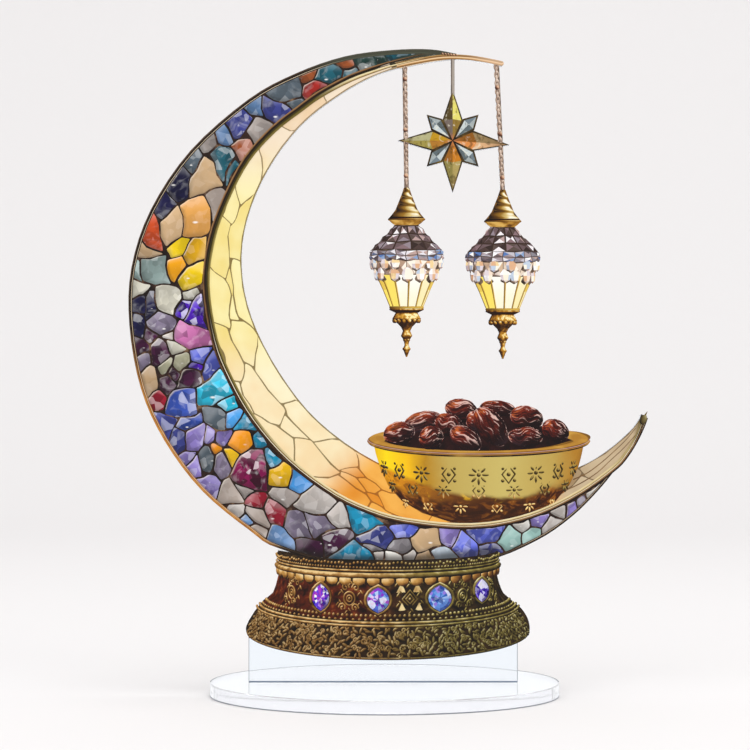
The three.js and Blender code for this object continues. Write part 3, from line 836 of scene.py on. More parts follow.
def rod(name, path, radius, end_radius=None, sides=8, tapers=(0.5, 0.5)):
    """A round rod along (x, y, z) points, its radius going evenly from one end's to the other's. It
    thins out over the last few points of each end where tapers says so."""
    curve = bpy.data.curves.new(name, "CURVE")
    curve.dimensions = "3D"
    curve.bevel_depth = 1
    curve.bevel_resolution = (sides - 4) // 2
    curve.use_fill_caps = True
    spline = curve.splines.new("POLY")
    spline.points.add(len(path) - 1)
    for i, place in enumerate(path):
        spline.points[i].co = (*place, 1)
        thinner = min(1, (i + 0.5) / tapers[0], (len(path) - i - 0.5) / tapers[1])
        spline.points[i].radius = (radius + ((end_radius or radius) - radius) * i / (len(path) - 1)) * thinner
    only(new_piece(name, curve))
    bpy.ops.object.convert(target="MESH")
    bpy.ops.object.shade_smooth()
    return bpy.context.object


def upright(line):
    """A line in the picture's plane as a path in space"""
    return [(p.x, 0, p.y) for p in line]


def ball(segments, rings, radius, place, turn=(0, 0, 0)):
    bpy.ops.mesh.primitive_uv_sphere_add(
        segments=segments, ring_count=rings, radius=radius, location=place, rotation=turn)
    bpy.ops.object.shade_smooth()
    return bpy.context.object


def rods_beside(line, builds, tapers=(0.5, 0.5)):
    return [rod(name, upright(beside_line(line, start, end)), radius * MM, end_radius * MM, tapers=tapers)
            for name, start, end, radius, end_radius in builds]


outer_rods = rods_beside(outer_line, OUTER_RODS)
middle_rods = rods_beside(rim_line, MIDDLE_RODS, RIM_TAPERS)
tip_rods = [rod(name, upright(flowing_line(knots)), radius * MM, end_radius * MM)
            for name, knots, radius, end_radius in TIP_RODS]
leaf_lines = [rod("tip_leaf_line_" + str(i + 1), upright(flowing_line(knots)), *LEAF_LINE_RADII)
              for i, knots in enumerate(LEAF_LINES)]
crescent_tip = ball(20, 12, MM, TIP_PLACE, (0, TIP_LEAN, 0))
crescent_tip.name = "crescent_tip"
crescent_tip.scale = TIP_RADII
settle()
press(outer_rods + tip_rods, OUTER_RIM)
press(leaf_lines, LEAF_LINES_LAYER)
press(middle_rods + [crescent_tip], RIMS)

dark_bronze = Ink("dark_bronze", roughness=0.3)
low_left = dark_bronze.over("Z", 112, 80)
low_left = dark_bronze.times(low_left, dark_bronze.over("X", -30, -38))
dull = dark_bronze.metal((-0.6, -0.5, 0.6), 0.3, 0.25, (0.45, "#0c0603"), (0.78, "#281a0f"),
                         (0.96, "#5a4636"))
ruddy = dark_bronze.metal((-0.6, -0.5, 0.6), 0.4, 0.25, (0.3, "#3a1a06"), (0.6, "#9a5c1e"), (0.85, "#d89a4a"))
rim_tone = dark_bronze.mixed(low_left, dull, ruddy)
dark_bronze.finish(dark_bronze.mixed(dark_bronze.over("Z", 186, 191, 0.0, 0.8), rim_tone, "#4a4c3e"))
tip_olive = metallic("tip_olive", (0.7, -0.6, 0.5), 0.3, 0.25, (0.35, "#1a1408"), (0.6, "#4a3c1c"),
                     (0.85, "#7a6c40"), (0.97, "#a89c70"), roughness=0.35)
leaf_brown = mottled("leaf_brown", 0.2, (0.35, "#5a3c20"), (0.65, "#8a6840"))
hand_over([crescent_tip], tip_olive)
hand_over(leaf_lines, leaf_brown)
gilt = Ink("gilt_line", roughness=0.3)
gilt_tone = gilt.metal((-0.3, -0.6, 0.7), 0.5, 0.2, (0.3, "#4a3018"), (0.6, "#a88c68"), (0.85, "#e6d6b8"))
# Painted shadow: the gilt line darkens where it runs behind the plinth.
shadow_behind_plinth = gilt.times(gilt.over("Z", 47, 43), gilt.over("X", -34, -30))
gilt_tone = gilt.mixed(gilt.over("Z", 186, 191), gilt_tone, "#4e5444")
gilt.finish(gilt.mixed(shadow_behind_plinth, gilt_tone, "#2a1c10"))
rim_line_ink = Ink("rim_line", roughness=0.3)
rim_line_low = rim_line_ink.metal((-0.3, -0.6, 0.7), 0.4, 0.2, (0.3, "#7a6040"), (0.6, "#d8c8a0"),
                                  (0.85, "#fff4d8"))
rim_line_ink.finish(rim_line_ink.mixed(rim_line_ink.over("Z", 116, 96), "#3a3010", rim_line_low))
olive_bronze = Ink("olive_bronze", roughness=0.3)
sunny = olive_bronze.metal((0.7, -0.6, 0.1), 0.2, 0.2, (0.5, "#151004"), (0.62, "#4a3e12"),
                           (0.8, "#625420"), (0.96, "#8c7c40"))
sandy = olive_bronze.metal((0.3, -0.6, 0.7), 0.2, 0.2, (0.3, "#4a2e10"), (0.55, "#8a6a38"),
                           (0.75, "#c8b078"), (0.9, "#ecdcae"))
olive_tone = olive_bronze.mixed(olive_bronze.over("Z", 92, 62), sunny, sandy)
olive_bronze.finish(olive_bronze.mixed(olive_bronze.over("Z", 178, 186), olive_tone, sandy))
plain_bronze = metallic("plain_bronze", (-0.6, -0.5, 0.6), 0.2, 0.25, (0.45, "#120804"), (0.75, "#38200e"),
                        (0.93, "#9a7248"), roughness=0.3)
for node in ("print_outer_rim_left", "print_outer_rim_right", "print_middle_rim"):
    backing(node, node.replace("print_", "") + "_bed", dark_bronze)
hand_over([outer_rods[0], outer_rods[2], tip_rods[0]], dark_bronze)
hand_over([middle_rods[0]], plain_bronze)
hand_over([outer_rods[1], tip_rods[1]], gilt)
hand_over([middle_rods[1]], rim_line_ink)
hand_over([middle_rods[2]], olive_bronze)

# The gold bar along the top horn, and what hangs from it: two chains of small oval links for the
# lanterns, each with a few knots, and one grey thread for the star.
HORN_LINE = [(3.6, 188.6), (10.7, 190.1), (17.5, 191.1), (24.5, 191.0), (30.2, 190.2), (35, 189.2)]
HORN_RADIUS = 0.85 * MM
HORN_END_RADIUS = 0.72 * MM
LINK_PITCH = 1.25 * MM
LINK_LENGTH = 0.95 * MM
LINK_WIDTH = 0.55 * MM
LINK_WIRE = 0.2 * MM
LINK_TURN = 1.1
FIRST_LINK_TURN = 0.2
KNOTS = {"left": [(6.1, 184.5), (6.2, 169.3), (6.4, 155.6)],
         "right": [(33.7, 182), (34.6, 168), (35.3, 155)]}
KNOT_RADIUS = 0.72 * MM
KNOT_FORWARD = 0.4 * MM
HORN_BEADS = 6
HORN_BEAD_RADIUS = 0.36 * MM
HORN_BEAD_FORWARD = 0.6 * MM
HORN_BEADS_START = (17.3, 192.1)
HORN_BEADS_STEP = (0.85, -0.08)
END_LEVEL = 0.3 * MM
THREAD_RADIUS = 0.4 * MM
HANGINGS = (0.24, 0.4)


def node_ends(node):
    """The middle of a hanging node's top and of its bottom"""
    corners = [v.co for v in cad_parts[node].data.vertices]
    top, bottom = max(c.z for c in corners), min(c.z for c in corners)
    ends = []
    for level in (top, bottom):
        across = [c.x for c in corners if abs(c.z - level) < END_LEVEL]
        ends.append(Vector(((min(across) + max(across)) / 2, 0, level)))
    return ends


horn_path = flowing_line(HORN_LINE)
horn = rod("horn_bar", upright(horn_path), HORN_RADIUS, HORN_END_RADIUS, 10)
horn = join([horn, ball(12, 8, HORN_END_RADIUS, upright(horn_path)[-1])], "horn_bar")
hangings = [horn]
knots = []
for side in ("left", "right"):
    top = node_ends("print_chain_upper_" + side)[0]
    bottom = node_ends("print_chain_lower_" + side)[1]
    way = bottom - top
    links = []
    for i in range(int(way.length / LINK_PITCH)):
        place = top + way * (i + 0.5) * LINK_PITCH / way.length
        bpy.ops.mesh.primitive_torus_add(
            major_segments=10, minor_segments=5, major_radius=LINK_WIDTH, minor_radius=LINK_WIRE,
            location=place, rotation=(math.pi / 2, 0, (i % 2) * LINK_TURN + FIRST_LINK_TURN))
        links.append(bpy.context.object)
        links[-1].scale.y = LINK_LENGTH / LINK_WIDTH
        bpy.ops.object.shade_smooth()
    for x, z in KNOTS[side]:
        knots.append(ball(10, 6, KNOT_RADIUS, (x * MM, -KNOT_FORWARD, z * MM)))
    hangings.append(join(links, "chain_links_" + side))
thread_top, thread_bottom = node_ends("print_star_thread")
thread = rod("star_thread", [thread_top, thread_bottom], THREAD_RADIUS)
hangings.append(thread)
for i in range(HORN_BEADS):
    x, z = (start + step * i for start, step in zip(HORN_BEADS_START, HORN_BEADS_STEP))
    knots.append(ball(8, 6, HORN_BEAD_RADIUS, (x * MM, -HORN_BEAD_FORWARD, z * MM)))
knots = join(knots, "chain_knots")
press(hangings + [knots], HANGINGS)

chain_metal = metallic("chain_metal", (0.5, -0.6, 0.6), 0.5, 0.35, (0.35, "#3a2a26"), (0.6, "#7c6454"),
                       (0.8, "#c0a490"), (0.97, "#ead8c8"))
knot_brown = metallic("knot_brown", (0.5, -0.6, 0.6), 0.6, 0.5, (0.4, "#2a1610"), (0.7, "#7a4a34"),
                      (0.92, "#e0b898"))
hand_over([knots], knot_brown)
chain_bed = mottled("chain_bed", 0.5, (0.35, "#4c3a30"), (0.65, "#9a8474"))
for side in ("left", "right"):
    for level in ("upper", "lower"):
        bed = "chain_" + level + "_bed_" + side
        backing("print_chain_" + level + "_" + side, bed, chain_bed)
backing("print_star_thread", "star_thread_bed", chain_bed)
hand_over(hangings[1:3], chain_metal)
thread_grey = metallic("thread_grey", (0.6, -0.7, 0.1), 0.2, 0.3, (0.3, "#3f332c"), (0.6, "#82766c"),
                       (0.9, "#aca298"))
hand_over([thread], thread_grey)

horn_gold = Ink("horn_gold", roughness=0.3)
horn_tone = horn_gold.metal((-0.1, -0.35, 0.95), 0.12, 0.1, (0.2, "#3a220c"), (0.34, "#9a6c38"),
                            (0.5, "#d6a468"), (0.62, "#f8e0b8"), (0.74, "#b8844a"), (0.84, "#5a3a1c"),
                            (0.95, "#b08850"))
horn_gold.finish(horn_gold.mixed(horn_gold.over("X", 22, 34, 0.0, 0.5), horn_tone, "#f0ccaa"))
backing("print_horn", "horn_bed", horn_gold)
hand_over([horn], horn_gold)

# The star: eight arms of cut glass in a dark frame, each a low kite-shaped pyramid. The four long
# arms are amber and the four short ones silver.
STAR_MIDDLE = (20.4, 166.1)
STAR_LONG = {"right": (17, -1.3), "up": (0, 15.3), "left": (-16.4, 0), "down": (0, -15.6)}
STAR_SHOULDER = (6, 3.1)
STAR_SHORT = (11, 7.2, 19.3)
LONG_GLASS = (0.15, 0.84, 1.0)
SHORT_GLASS = (1.3, 0.74, 1.0)
STAR_RISE = 1.6
STAR_RIDGES = (0.42, 0.95)
STAR_LAYERS = (0.45, 0.75)
ARM_COLOURS = {
    "right": ("#dc8c48", "#dcae80", "#947c54", "#8e581a"), "up": ("#8e7230", "#e6dc70", "#564622", "#74665e"),
    "left": ("#be921c", "#b4b082", "#a09248", "#b0782a"),
    "down": ("#98601a", "#8c8044", "#b09c5c", "#c67c1e"),
    "short": ("#5e6a6e", "#a4aeae", "#74828a", "#c8d2d2"),
}


def kite(name, corners, ridge, colours):
    """A low pyramid on four corners, each of its four sides marked with its own colour"""
    bpy.ops.mesh.primitive_cone_add(vertices=4, radius1=1, depth=1, end_fill_type="NOTHING")
    piece = bpy.context.object
    piece.name = name
    apex = max(piece.data.vertices, key=lambda v: v.co.z).index
    base = [v for v in piece.data.vertices if v.index != apex]
    base.sort(key=lambda v: math.atan2(v.co.y, v.co.x))
    for vertex, (x, z) in zip(base, corners):
        vertex.co = (x * MM, 0, z * MM)
    piece.data.vertices[apex].co = (ridge[0] * MM, -STAR_RISE * MM, ridge[1] * MM)
    marks = piece.data.attributes.new("facet_colour", "FLOAT_COLOR", "FACE")
    order = {v.index: i for i, v in enumerate(base)}
    for face in piece.data.polygons:
        first, second = sorted(order[v] for v in face.vertices if v != apex)
        side = first if second - first == 1 else 3
        marks.data[face.index].color = linear(colours[side])
    edit(piece)
    bpy.ops.mesh.normals_make_consistent(inside=False)
    done()
    if piece.data.polygons[0].normal.y > 0:
        edit(piece)
        bpy.ops.mesh.flip_normals()
        done()
    return piece


def within_frame(outline, inner, width, short):
    """The glass in an arm: where it starts, its share of the arm's width, how short of the tip it ends"""
    start, left, tip, right = outline
    out = (tip - start).normalized()
    sides = []
    for corner in (left, right):
        along = out * (corner - start).dot(out)
        sides.append(start + along + (corner - start - along) * width)
    return [start + out * inner, sides[0], tip - out * short, sides[1]]


star_pieces = []
star_middle = Vector(STAR_MIDDLE)
for i, (way, tip) in enumerate(STAR_LONG.items()):
    out = Vector((math.cos(i * math.pi / 2), math.sin(i * math.pi / 2)))
    aside = Vector((-out.y, out.x))
    shoulder = star_middle + out * STAR_SHOULDER[0]
    aside *= STAR_SHOULDER[1]
    outline = [star_middle, shoulder - aside, star_middle + Vector(tip), shoulder + aside]
    ridge = star_middle.lerp(star_middle + Vector(tip), STAR_RIDGES[0])
    star_pieces.append(kite("star_arm_" + way, within_frame(outline, *LONG_GLASS), ridge, ARM_COLOURS[way]))
for i in range(4):
    turn = math.pi / 4 + i * math.pi / 2
    outline = [star_middle]
    for reach, spread in ((STAR_SHORT[1], -STAR_SHORT[2]), (STAR_SHORT[0], 0),
                          (STAR_SHORT[1], STAR_SHORT[2])):
        angle = turn + math.radians(spread)
        outline.append(star_middle + Vector((math.cos(angle), math.sin(angle))) * reach)
    ridge = star_middle + Vector((math.cos(turn), math.sin(turn))) * STAR_SHORT[1] * STAR_RIDGES[1]
    star_pieces.append(kite("star_ray_" + str(i + 1), within_frame(outline, *SHORT_GLASS), ridge,
                            ARM_COLOURS["short"]))
press(star_pieces, STAR_LAYERS)

star_frame = mottled("star_frame", 0.3, (0.35, "#1e1609"), (0.6, "#4e3c1a"), (0.78, "#927834"))
backing("print_star", "star_frame", star_frame)
star_glass = Ink("star_glass", roughness=0.25)
facet = star_glass.stored("facet_colour", "Color")
from_middle = star_glass.vector("DISTANCE", star_glass.place, (STAR_MIDDLE[0] * MM, 0, STAR_MIDDLE[1] * MM))
facet = star_glass.mixed(star_glass.spread(from_middle, 0, 3 * MM, 0.8, 0.0), facet, "#c4784a")
facet = star_glass.mixed(star_glass.spread(from_middle, 10 * MM, 15 * MM, 0.0, 0.6), facet, "#7a5a3c")
streak = star_glass.clouds(0.35, 3, twist=1.5)
facet = star_glass.mixed(star_glass.spread(streak, 0.58, 0.72, 0.0, 0.5), facet, "#f4efd8")
facet = star_glass.mixed(star_glass.spread(streak, 0.46, 0.34, 0.0, 0.55), facet, "#3c3016")
star_glass.finish(facet)
hand_over(star_pieces, star_glass)

# The two lanterns. Each is a spun gold cap with a spiral ridge, a crown of cut crystal with pointed
# drops, a lit body of glass panes between gold bars, and a spun gold finial with small beads.
LANTERN_SIDES = 64
PANE_SIDES = 12
PANE_TURN = math.radians(5)
CAP_PITCH = 2.1 * MM
CAP_RIDGE = 0.3 * MM
CROWN_ZONES = {"upper": (0.0, 0.18, 0.34, 0.5), "girdle": (0.5, 0.6, 0.71), "skirt": (0.71, 0.99)}
CROWN_SIDES = {"upper": 13, "girdle": 20, "skirt": 20}
CROWN_JITTER = 0.7 * MM
CROWN_RIBS = {"upper": 0.26 * MM, "girdle": 0.13 * MM, "skirt": 0.1 * MM}
DROP_COUNT = 13
DROP_ROWS = [(0.4, 1.75, 2.3), (3.5, 1.6, 1.9)]
DROP_EDGE = 1.2
DROP_WANDER = 0.22
LANTERN_LAYERS = (0.45, 0.8)
CAP_STEP = 0.4 * MM
CAP_PLAIN = 0.7 * MM
CAP_POINT = 0.6 * MM
CAP_SHADE = (0.2 * MM, 0.75 * MM)
LIP_WIRE = 0.35 * MM
SKIRT_INSET = 0.6 * MM
CROWN_PATCH = 1.3 * MM
CUT_RISE = 0.5 * MM
DROP_DEPTH = 0.8
DROP_INSET = 0.3
DROP_EDGE_INSET = 1.3
PANES_INSET = 0.985
PANES_ACROSS = 0.78
BARS_INSET = 0.97
BAR_RADII = (0.32 * MM, 0.24 * MM)
FOOT_RING_INSET = 0.1 * MM
FOOT_RING_WIRE = 0.4 * MM
FINIAL_STEP = 0.5 * MM
FINIAL_SIDES = 32
FINIAL_DISC = 3
FINIAL_BEADS = 14
FINIAL_BEADS_REACH = 3.7 * MM
FINIAL_BEADS_DROP = 0.5 * MM
FINIAL_BEAD = 0.62 * MM
FINIAL_LOWER_LEVELS = (7, 8, 10)
FINIAL_LOWER_BEADS = 5
FINIAL_LOWER_BEAD = 0.5 * MM
FINIAL_LOWER_INSET = 0.7


def profile_of(node):
    """A printed area's outline about its upright axis: the axis and (radius, height) from the top"""
    corners = [v.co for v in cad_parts[node].data.vertices]
    axis = (min(c.x for c in corners) + max(c.x for c in corners)) / 2
    levels = {}
    for corner in corners:
        height = round(corner.z / MM, 2)
        levels[height] = max(levels.get(height, 0), corner.x - axis)
    return axis, [(radius, height * MM) for height, radius in sorted(levels.items(), reverse=True)]


def radius_at(profile, height):
    """The profile's radius at a height"""
    for (r0, z0), (r1, z1) in zip(profile, profile[1:]):
        if z1 <= height <= z0:
            return r0 + (r1 - r0) * (z0 - height) / max(z0 - z1, TINY)
    return profile[0][0] if height > profile[0][1] else profile[-1][0]


def finer(profile, step):
    """The same profile with extra points, no further apart than the step"""
    points = [Vector(profile[0])]
    for point in profile[1:]:
        start, end = points[-1], Vector(point)
        count = max(1, math.ceil((end - start).length / step))
        points += [start.lerp(end, (k + 1) / count) for k in range(count)]
    return points


def turned(name, profile, sides, axis=0.0):
    """A form spun about an upright axis from (radius, height) points"""
    mesh = bpy.data.meshes.new(name)
    mesh.from_pydata([(r, 0, z) for r, z in profile], [(i, i + 1) for i in range(len(profile) - 1)], [])
    piece = new_piece(name, mesh)
    edit(piece, "VERT")
    bpy.ops.mesh.spin(steps=sides, angle=2 * math.pi, center=(0, 0, 0), axis=(0, 0, 1))
    bpy.ops.mesh.select_all(action="SELECT")
    bpy.ops.mesh.remove_doubles(threshold=TINY)
    bpy.ops.mesh.normals_make_consistent(inside=False)
    faces = bmesh.from_edit_mesh(piece.data).faces
    if sum(f.calc_area() * f.normal.xy.dot(f.calc_center_median().xy) for f in faces) < 0:
        bpy.ops.mesh.flip_normals()
    done()
    bpy.ops.object.shade_smooth()
    piece.location.x = axis
    settle()
    return piece


def bead(radius, place, stretch=(1, 1, 1), name="bead", turn=(0, 0, 0)):
    piece = ball(8, 5, radius, place, turn)
    piece.name = name
    piece.scale = stretch
    settle()
    return piece


def ring(radius, wire, place, name="ring", sides=48):
    bpy.ops.mesh.primitive_torus_add(
        major_segments=sides, minor_segments=8, major_radius=radius, minor_radius=wire, location=place)
    piece = bpy.context.object
    piece.name = name
    settle()
    bpy.ops.object.shade_smooth()
    return piece


def mark_faces(piece, name, colour_of):
    """Stores a colour on each face"""
    marks = piece.data.attributes.new(name, "FLOAT_COLOR", "FACE")
    for face in piece.data.polygons:
        marks.data[face.index].color = linear(colour_of(face))


def draw_colours(piece, name, colours):
    """Draws a colour for each face. The faces are sorted by their corners, as Blender may number
    them differently in each run."""
    corners = piece.data.vertices
    marks = piece.data.attributes.new(name, "FLOAT_COLOR", "FACE")
    for face in sorted(piece.data.polygons, key=lambda f: sorted(tuple(corners[i].co) for i in f.vertices)):
        marks.data[face.index].color = linear(chance.choice(colours))


def placed(piece, spot, angle, tip=0.0):
    """Sets a piece made at the origin, its front to the viewer, at a spot and an angle"""
    piece.rotation_euler = (tip, 0, angle)
    piece.location = spot
    return piece


def copies(piece, spots, name):
    """Copies of one small piece at (place, angle, tip) spots, as one mesh"""
    made = []
    for spot, angle, tip in spots:
        made.append(placed(new_piece(name, piece.data.copy()), spot, angle, tip))
    bpy.data.objects.remove(piece)
    return join(made, name)


CUTS = {
    "upper": ["#6a5658", "#3c2c2a", "#8a7074", "#bca09c", "#f6f0f2", "#6e5a5c", "#4e3c38", "#94868e",
              "#382a26", "#5c4c46"],
    "girdle": ["#e8e4ea", "#8fa8d0", "#5a7cb8", "#c8c4cc", "#5c5258", "#a8989c", "#ffffff", "#7a6a6c",
               "#c0a49c", "#8c8890"],
    "skirt": ["#ead6c0", "#fff4e4", "#d8b898", "#b89880"],
    "drops": ["#fffaf2", "#ffffff", "#f8e4d0", "#e4b48c", "#fff2dc", "#e4d8dc", "#c4d2e4", "#fdf6e6",
              "#f6d8a0"],
}
RIB_COLOURS = {"upper": "#3c2c24", "girdle": "#54443c", "skirt": "#6a5040"}
PANES = [(-0.86, "#e4c050"), (-0.45, "#fae066"), (0.5, "#fffdf4"), (0.84, "#fbf0c4"), (2, "#e8c860")]

cap_gold = Ink("cap_gold", roughness=0.3)
cap_tone = cap_gold.metal((0.6, -0.6, 0.55), 0.1, 0.3, (0.5, "#221104"), (0.74, "#5e3c0e"),
                          (0.86, "#9a7022"), (0.94, "#dcc078"), (0.985, "#fff8dc"))
cap_tone = cap_gold.mixed(1.0, cap_tone, cap_gold.stored("tint", "Color"), "MULTIPLY")
# Faces turned down, under the brim, get a lighter mottled gold in place of the painted shade that the metal's
# bands give them: a painted reflection.
underside = cap_gold.spread(cap_gold.part(cap_gold.normal, "Z"), -0.15, -0.55)
brim_tone = cap_gold.steps(cap_gold.clouds(0.35), (0.35, "#5e3a10"), (0.5, "#a87626"), (0.68, "#d8ac58"))
cap_gold.finish(cap_gold.mixed(underside, cap_tone, brim_tone))
cap_bed = mottled("cap_bed", 0.3, (0.35, "#4a2c0c"), (0.65, "#8a5e20"))
finial_gold = metallic("finial_gold", (0.35, -0.7, 0.6), 0.65, 1.1, (0.46, "#241004"), (0.66, "#5e3608"),
                       (0.8, "#a8721c"), (0.91, "#dca43c"), (0.985, "#fff0b0"), roughness=0.3)
crystal = Ink("cut_crystal", roughness=0.15)
sheen = crystal.metal((0.35, -0.6, 0.6), 0.5, 0.5, (0.3, "#706468"), (0.5, "#c8bcc0"), (0.7, "#ffffff"))
crystal.finish(crystal.mixed(1.0, crystal.stored("facet_colour", "Color"), sheen, "MULTIPLY"))
crystal_bed = mottled("crystal_bed", 0.7, (0.35, "#33261e"), (0.65, "#7c6654"))
lit_glass = Ink("lit_glass", roughness=0.3)
low_glow = lit_glass.over("Z", 126, 117, 0.0, 0.3)
lit_glass.finish(lit_glass.mixed(low_glow, lit_glass.stored("pane", "Color"), "#f6e670"))
bar_gold = metallic("bar_gold", (0.6, -0.7, 0.3), 0.3, 0.3, (0.4, "#5a3c10"), (0.7, "#94702a"),
                    (0.95, "#dcb44c"))

for side in ("left", "right"):
    axis, cap_profile = profile_of("print_lantern_cap_" + side)
    crown_profile = profile_of("print_lantern_crystal_" + side)[1]
    body_profile = profile_of("print_lantern_glass_" + side)[1]
    finial_profile = profile_of("print_lantern_finial_" + side)[1]

    cap = turned("lantern_cap_" + side, finer(cap_profile, CAP_STEP), LANTERN_SIDES, axis)
    flare_z = max(cap_profile, key=lambda p: p[0])[1]
    for vertex in cap.data.vertices:
        offset = Vector((vertex.co.x - axis, vertex.co.y))
        if vertex.co.z > flare_z + CAP_PLAIN and offset.length > CAP_POINT:
            turn = math.atan2(offset.y, offset.x) + 2 * math.pi * vertex.co.z / CAP_PITCH
            offset += offset.normalized() * CAP_RIDGE * (math.cos(turn) - 1)
            vertex.co.x, vertex.co.y = axis + offset.x, offset.y
    lip_radius = max(r for r, z in cap_profile) - LIP_WIRE
    lip = ring(lip_radius, LIP_WIRE, (axis, 0, flare_z), "lantern_lip_" + side)
    mark_faces(cap, "tint", lambda face: (
        "#4a3418" if CAP_SHADE[0] < face.center.z - flare_z < CAP_SHADE[1] else "#ffffff"))
    mark_faces(lip, "tint", lambda face: "#e8c890")

    crown_top, crown_low = crown_profile[0][1], crown_profile[-1][1]
    crown = []
    for zone, levels in CROWN_ZONES.items():
        rows = [crown_top + (crown_low - crown_top) * level for level in levels]
        zone_profile = [(radius_at(crown_profile, z), z) for z in rows]
        if zone == "skirt":
            zone_profile = [(r - SKIRT_INSET, z) for r, z in zone_profile]
        piece = turned("lantern_" + zone + "_" + side, zone_profile, CROWN_SIDES[zone], axis)
        for vertex in piece.data.vertices:
            vertex.co += noise.noise_vector(vertex.co / CROWN_PATCH) * CROWN_JITTER
        edit(piece)
        bpy.ops.mesh.inset(thickness=CROWN_RIBS[zone], use_individual=True)
        bpy.ops.mesh.poke(offset=CUT_RISE)
        done()
        bpy.ops.object.shade_flat()
        mark_faces(piece, "facet_colour", lambda face: (
            chance.choice(CUTS[zone]) if len(face.vertices) == 3 else RIB_COLOURS[zone]))
        crown.append(piece)
    drops = []
    drop_edges = []
    for row, (up, width, length) in enumerate(DROP_ROWS):
        drop_spots = [(2 * math.pi * (i + row / 2 + chance.uniform(-DROP_WANDER, DROP_WANDER)) / DROP_COUNT,
                       chance.uniform(-DROP_WANDER, DROP_WANDER)) for i in range(DROP_COUNT)]
        for made, larger, inset in ((drops, 1, DROP_INSET), (drop_edges, DROP_EDGE, DROP_EDGE_INSET)):
            bpy.ops.mesh.primitive_uv_sphere_add(
                segments=6, ring_count=4, radius=MM * larger, rotation=(0, 0, math.pi / 2))
            drop = bpy.context.object
            settle()
            drop.scale = (width, DROP_DEPTH, length)
            settle()
            radius = radius_at(crown_profile, crown_low + up * MM) - inset * MM
            made.append(copies(drop, [
                ((axis + radius * math.sin(a), -radius * math.cos(a), crown_low + (up + rise) * MM), a, 0)
                for a, rise in drop_spots], "drops"))
    drop_edges = join(drop_edges, "lantern_drop_edges_" + side)
    drops = join(drops, "lantern_drops_" + side)
    bpy.ops.object.shade_flat()
    draw_colours(drops, "facet_colour", CUTS["drops"])

    body = turned("lantern_panes_" + side, [(r * PANES_INSET, z) for r, z in body_profile], PANE_SIDES)
    body.rotation_euler.z = PANE_TURN
    body.location.x = axis
    settle()
    bpy.ops.object.shade_flat()
    widest = body_profile[0][0]
    mark_faces(body, "pane", lambda face: next(
        colour for reach, colour in PANES if (face.center.x - axis) / (widest * PANES_ACROSS) < reach))
    bars = []
    for i in range(PANE_SIDES):
        angle = 2 * math.pi * i / PANE_SIDES + PANE_TURN
        path = [(axis + r * math.cos(angle) * BARS_INSET, r * math.sin(angle), z) for r, z in body_profile]
        bars.append(rod("bar", path, *BAR_RADII, 6))
    foot_radius, foot_z = body_profile[-1]
    bars.append(ring(foot_radius - FOOT_RING_INSET, FOOT_RING_WIRE, (axis, 0, foot_z)))
    bars = join(bars, "lantern_bars_" + side)

    finial = turned("lantern_finial_" + side, finer(finial_profile, FINIAL_STEP), FINIAL_SIDES, axis)
    tip_beads = []
    disc_z = finial_profile[FINIAL_DISC][1]
    for i in range(FINIAL_BEADS):
        angle = 2 * math.pi * i / FINIAL_BEADS
        place = (axis + FINIAL_BEADS_REACH * math.cos(angle), FINIAL_BEADS_REACH * math.sin(angle),
                 disc_z - FINIAL_BEADS_DROP)
        tip_beads.append(bead(FINIAL_BEAD, place, (1, 1, 1.3)))
    for level in FINIAL_LOWER_LEVELS:
        radius, height = finial_profile[level]
        radius *= FINIAL_LOWER_INSET
        for i in range(FINIAL_LOWER_BEADS):
            angle = 2 * math.pi * (i + 0.3) / FINIAL_LOWER_BEADS
            place = (axis + radius * math.cos(angle), radius * math.sin(angle), height)
            tip_beads.append(bead(FINIAL_LOWER_BEAD, place))
    tip_beads = join(tip_beads, "finial_beads_" + side)

    press([cap, lip, finial, tip_beads, drops, drop_edges, body, bars] + crown, LANTERN_LAYERS)
    for area, bed, ink, slot in (("cap", "cap", cap_bed, "gold_ink"),
                                 ("finial", "finial", finial_gold, "gold_ink"),
                                 ("crystal", "crown", crystal_bed, "crystal_ink"),
                                 ("glass", "panes", bar_gold, "glow_ink")):
        backing("print_lantern_" + area + "_" + side, "lantern_" + bed + "_bed_" + side, ink)
    hand_over([cap, lip], cap_gold)
    hand_over([finial, tip_beads], finial_gold)
    hand_over(crown + [drops], crystal)
    hand_over([drop_edges], crystal_bed)
    hand_over([body], lit_glass)
    hand_over([bars], bar_gold)

# The bowl of dates. The bowl is polished brass, seen from a little above, with a broad rolled rim and
# chased rosettes and lozenges; the dates are wrinkled, dark and glossy.
BOWL_X = 28.2
BOWL_LOOK_DOWN = 0.13
BOWL_RIM = [(28.8, 75.5), (28.8, 76.7), (29.4, 77.0), (31.0, 77.1), (32.0, 77.0), (32.8, 76.8),
            (33.3, 76.4), (33.4, 76.1), (33.1, 75.7), (32.4, 75.5), (31.6, 75.6)]
BOWL_RIM_HIDDEN = 26 * MM
BOWL_WALL = [(31.6, 75.9), (30.9, 72.6), (29.4, 67.8), (27.2, 63.2), (23.3, 58.7), (17.7, 55.3), (10, 52.6),
             (0.01, 51.6)]
BOWL_SIDES = 96
DATES = [
    (4.4, 78.5, 4.4, 3.3, 12), (11.9, 81.8, 5.7, 3.1, 8), (14.0, 77.0, 3.4, 3.5, 0),
    (19.4, 80.9, 4.4, 3.2, -24), (23.2, 85.4, 4.8, 3.2, -14), (24.3, 76.8, 4.9, 3.2, -34),
    (27.2, 82.2, 2.6, 2.9, 0), (31.8, 80.4, 6.4, 3.9, -52), (33.8, 86.0, 5.0, 2.2, -5),
    (42.6, 83.1, 4.7, 3.4, -14), (42.2, 77.4, 4.8, 2.9, -4), (51.2, 79.3, 4.0, 3.1, -26),
]
DATE_SIZE = 1.07
DATE_NEARER_BELOW = 2.0
WRINKLES = 0.11
BOWL_LAYERS = (0.3, 0.8)
MOTIFS_REACH = 0.86
MOTIF_ROWS = [(69.9, 9, 1.5), (64.9, 7, 1.3), (59.6, 6, 1.1)]


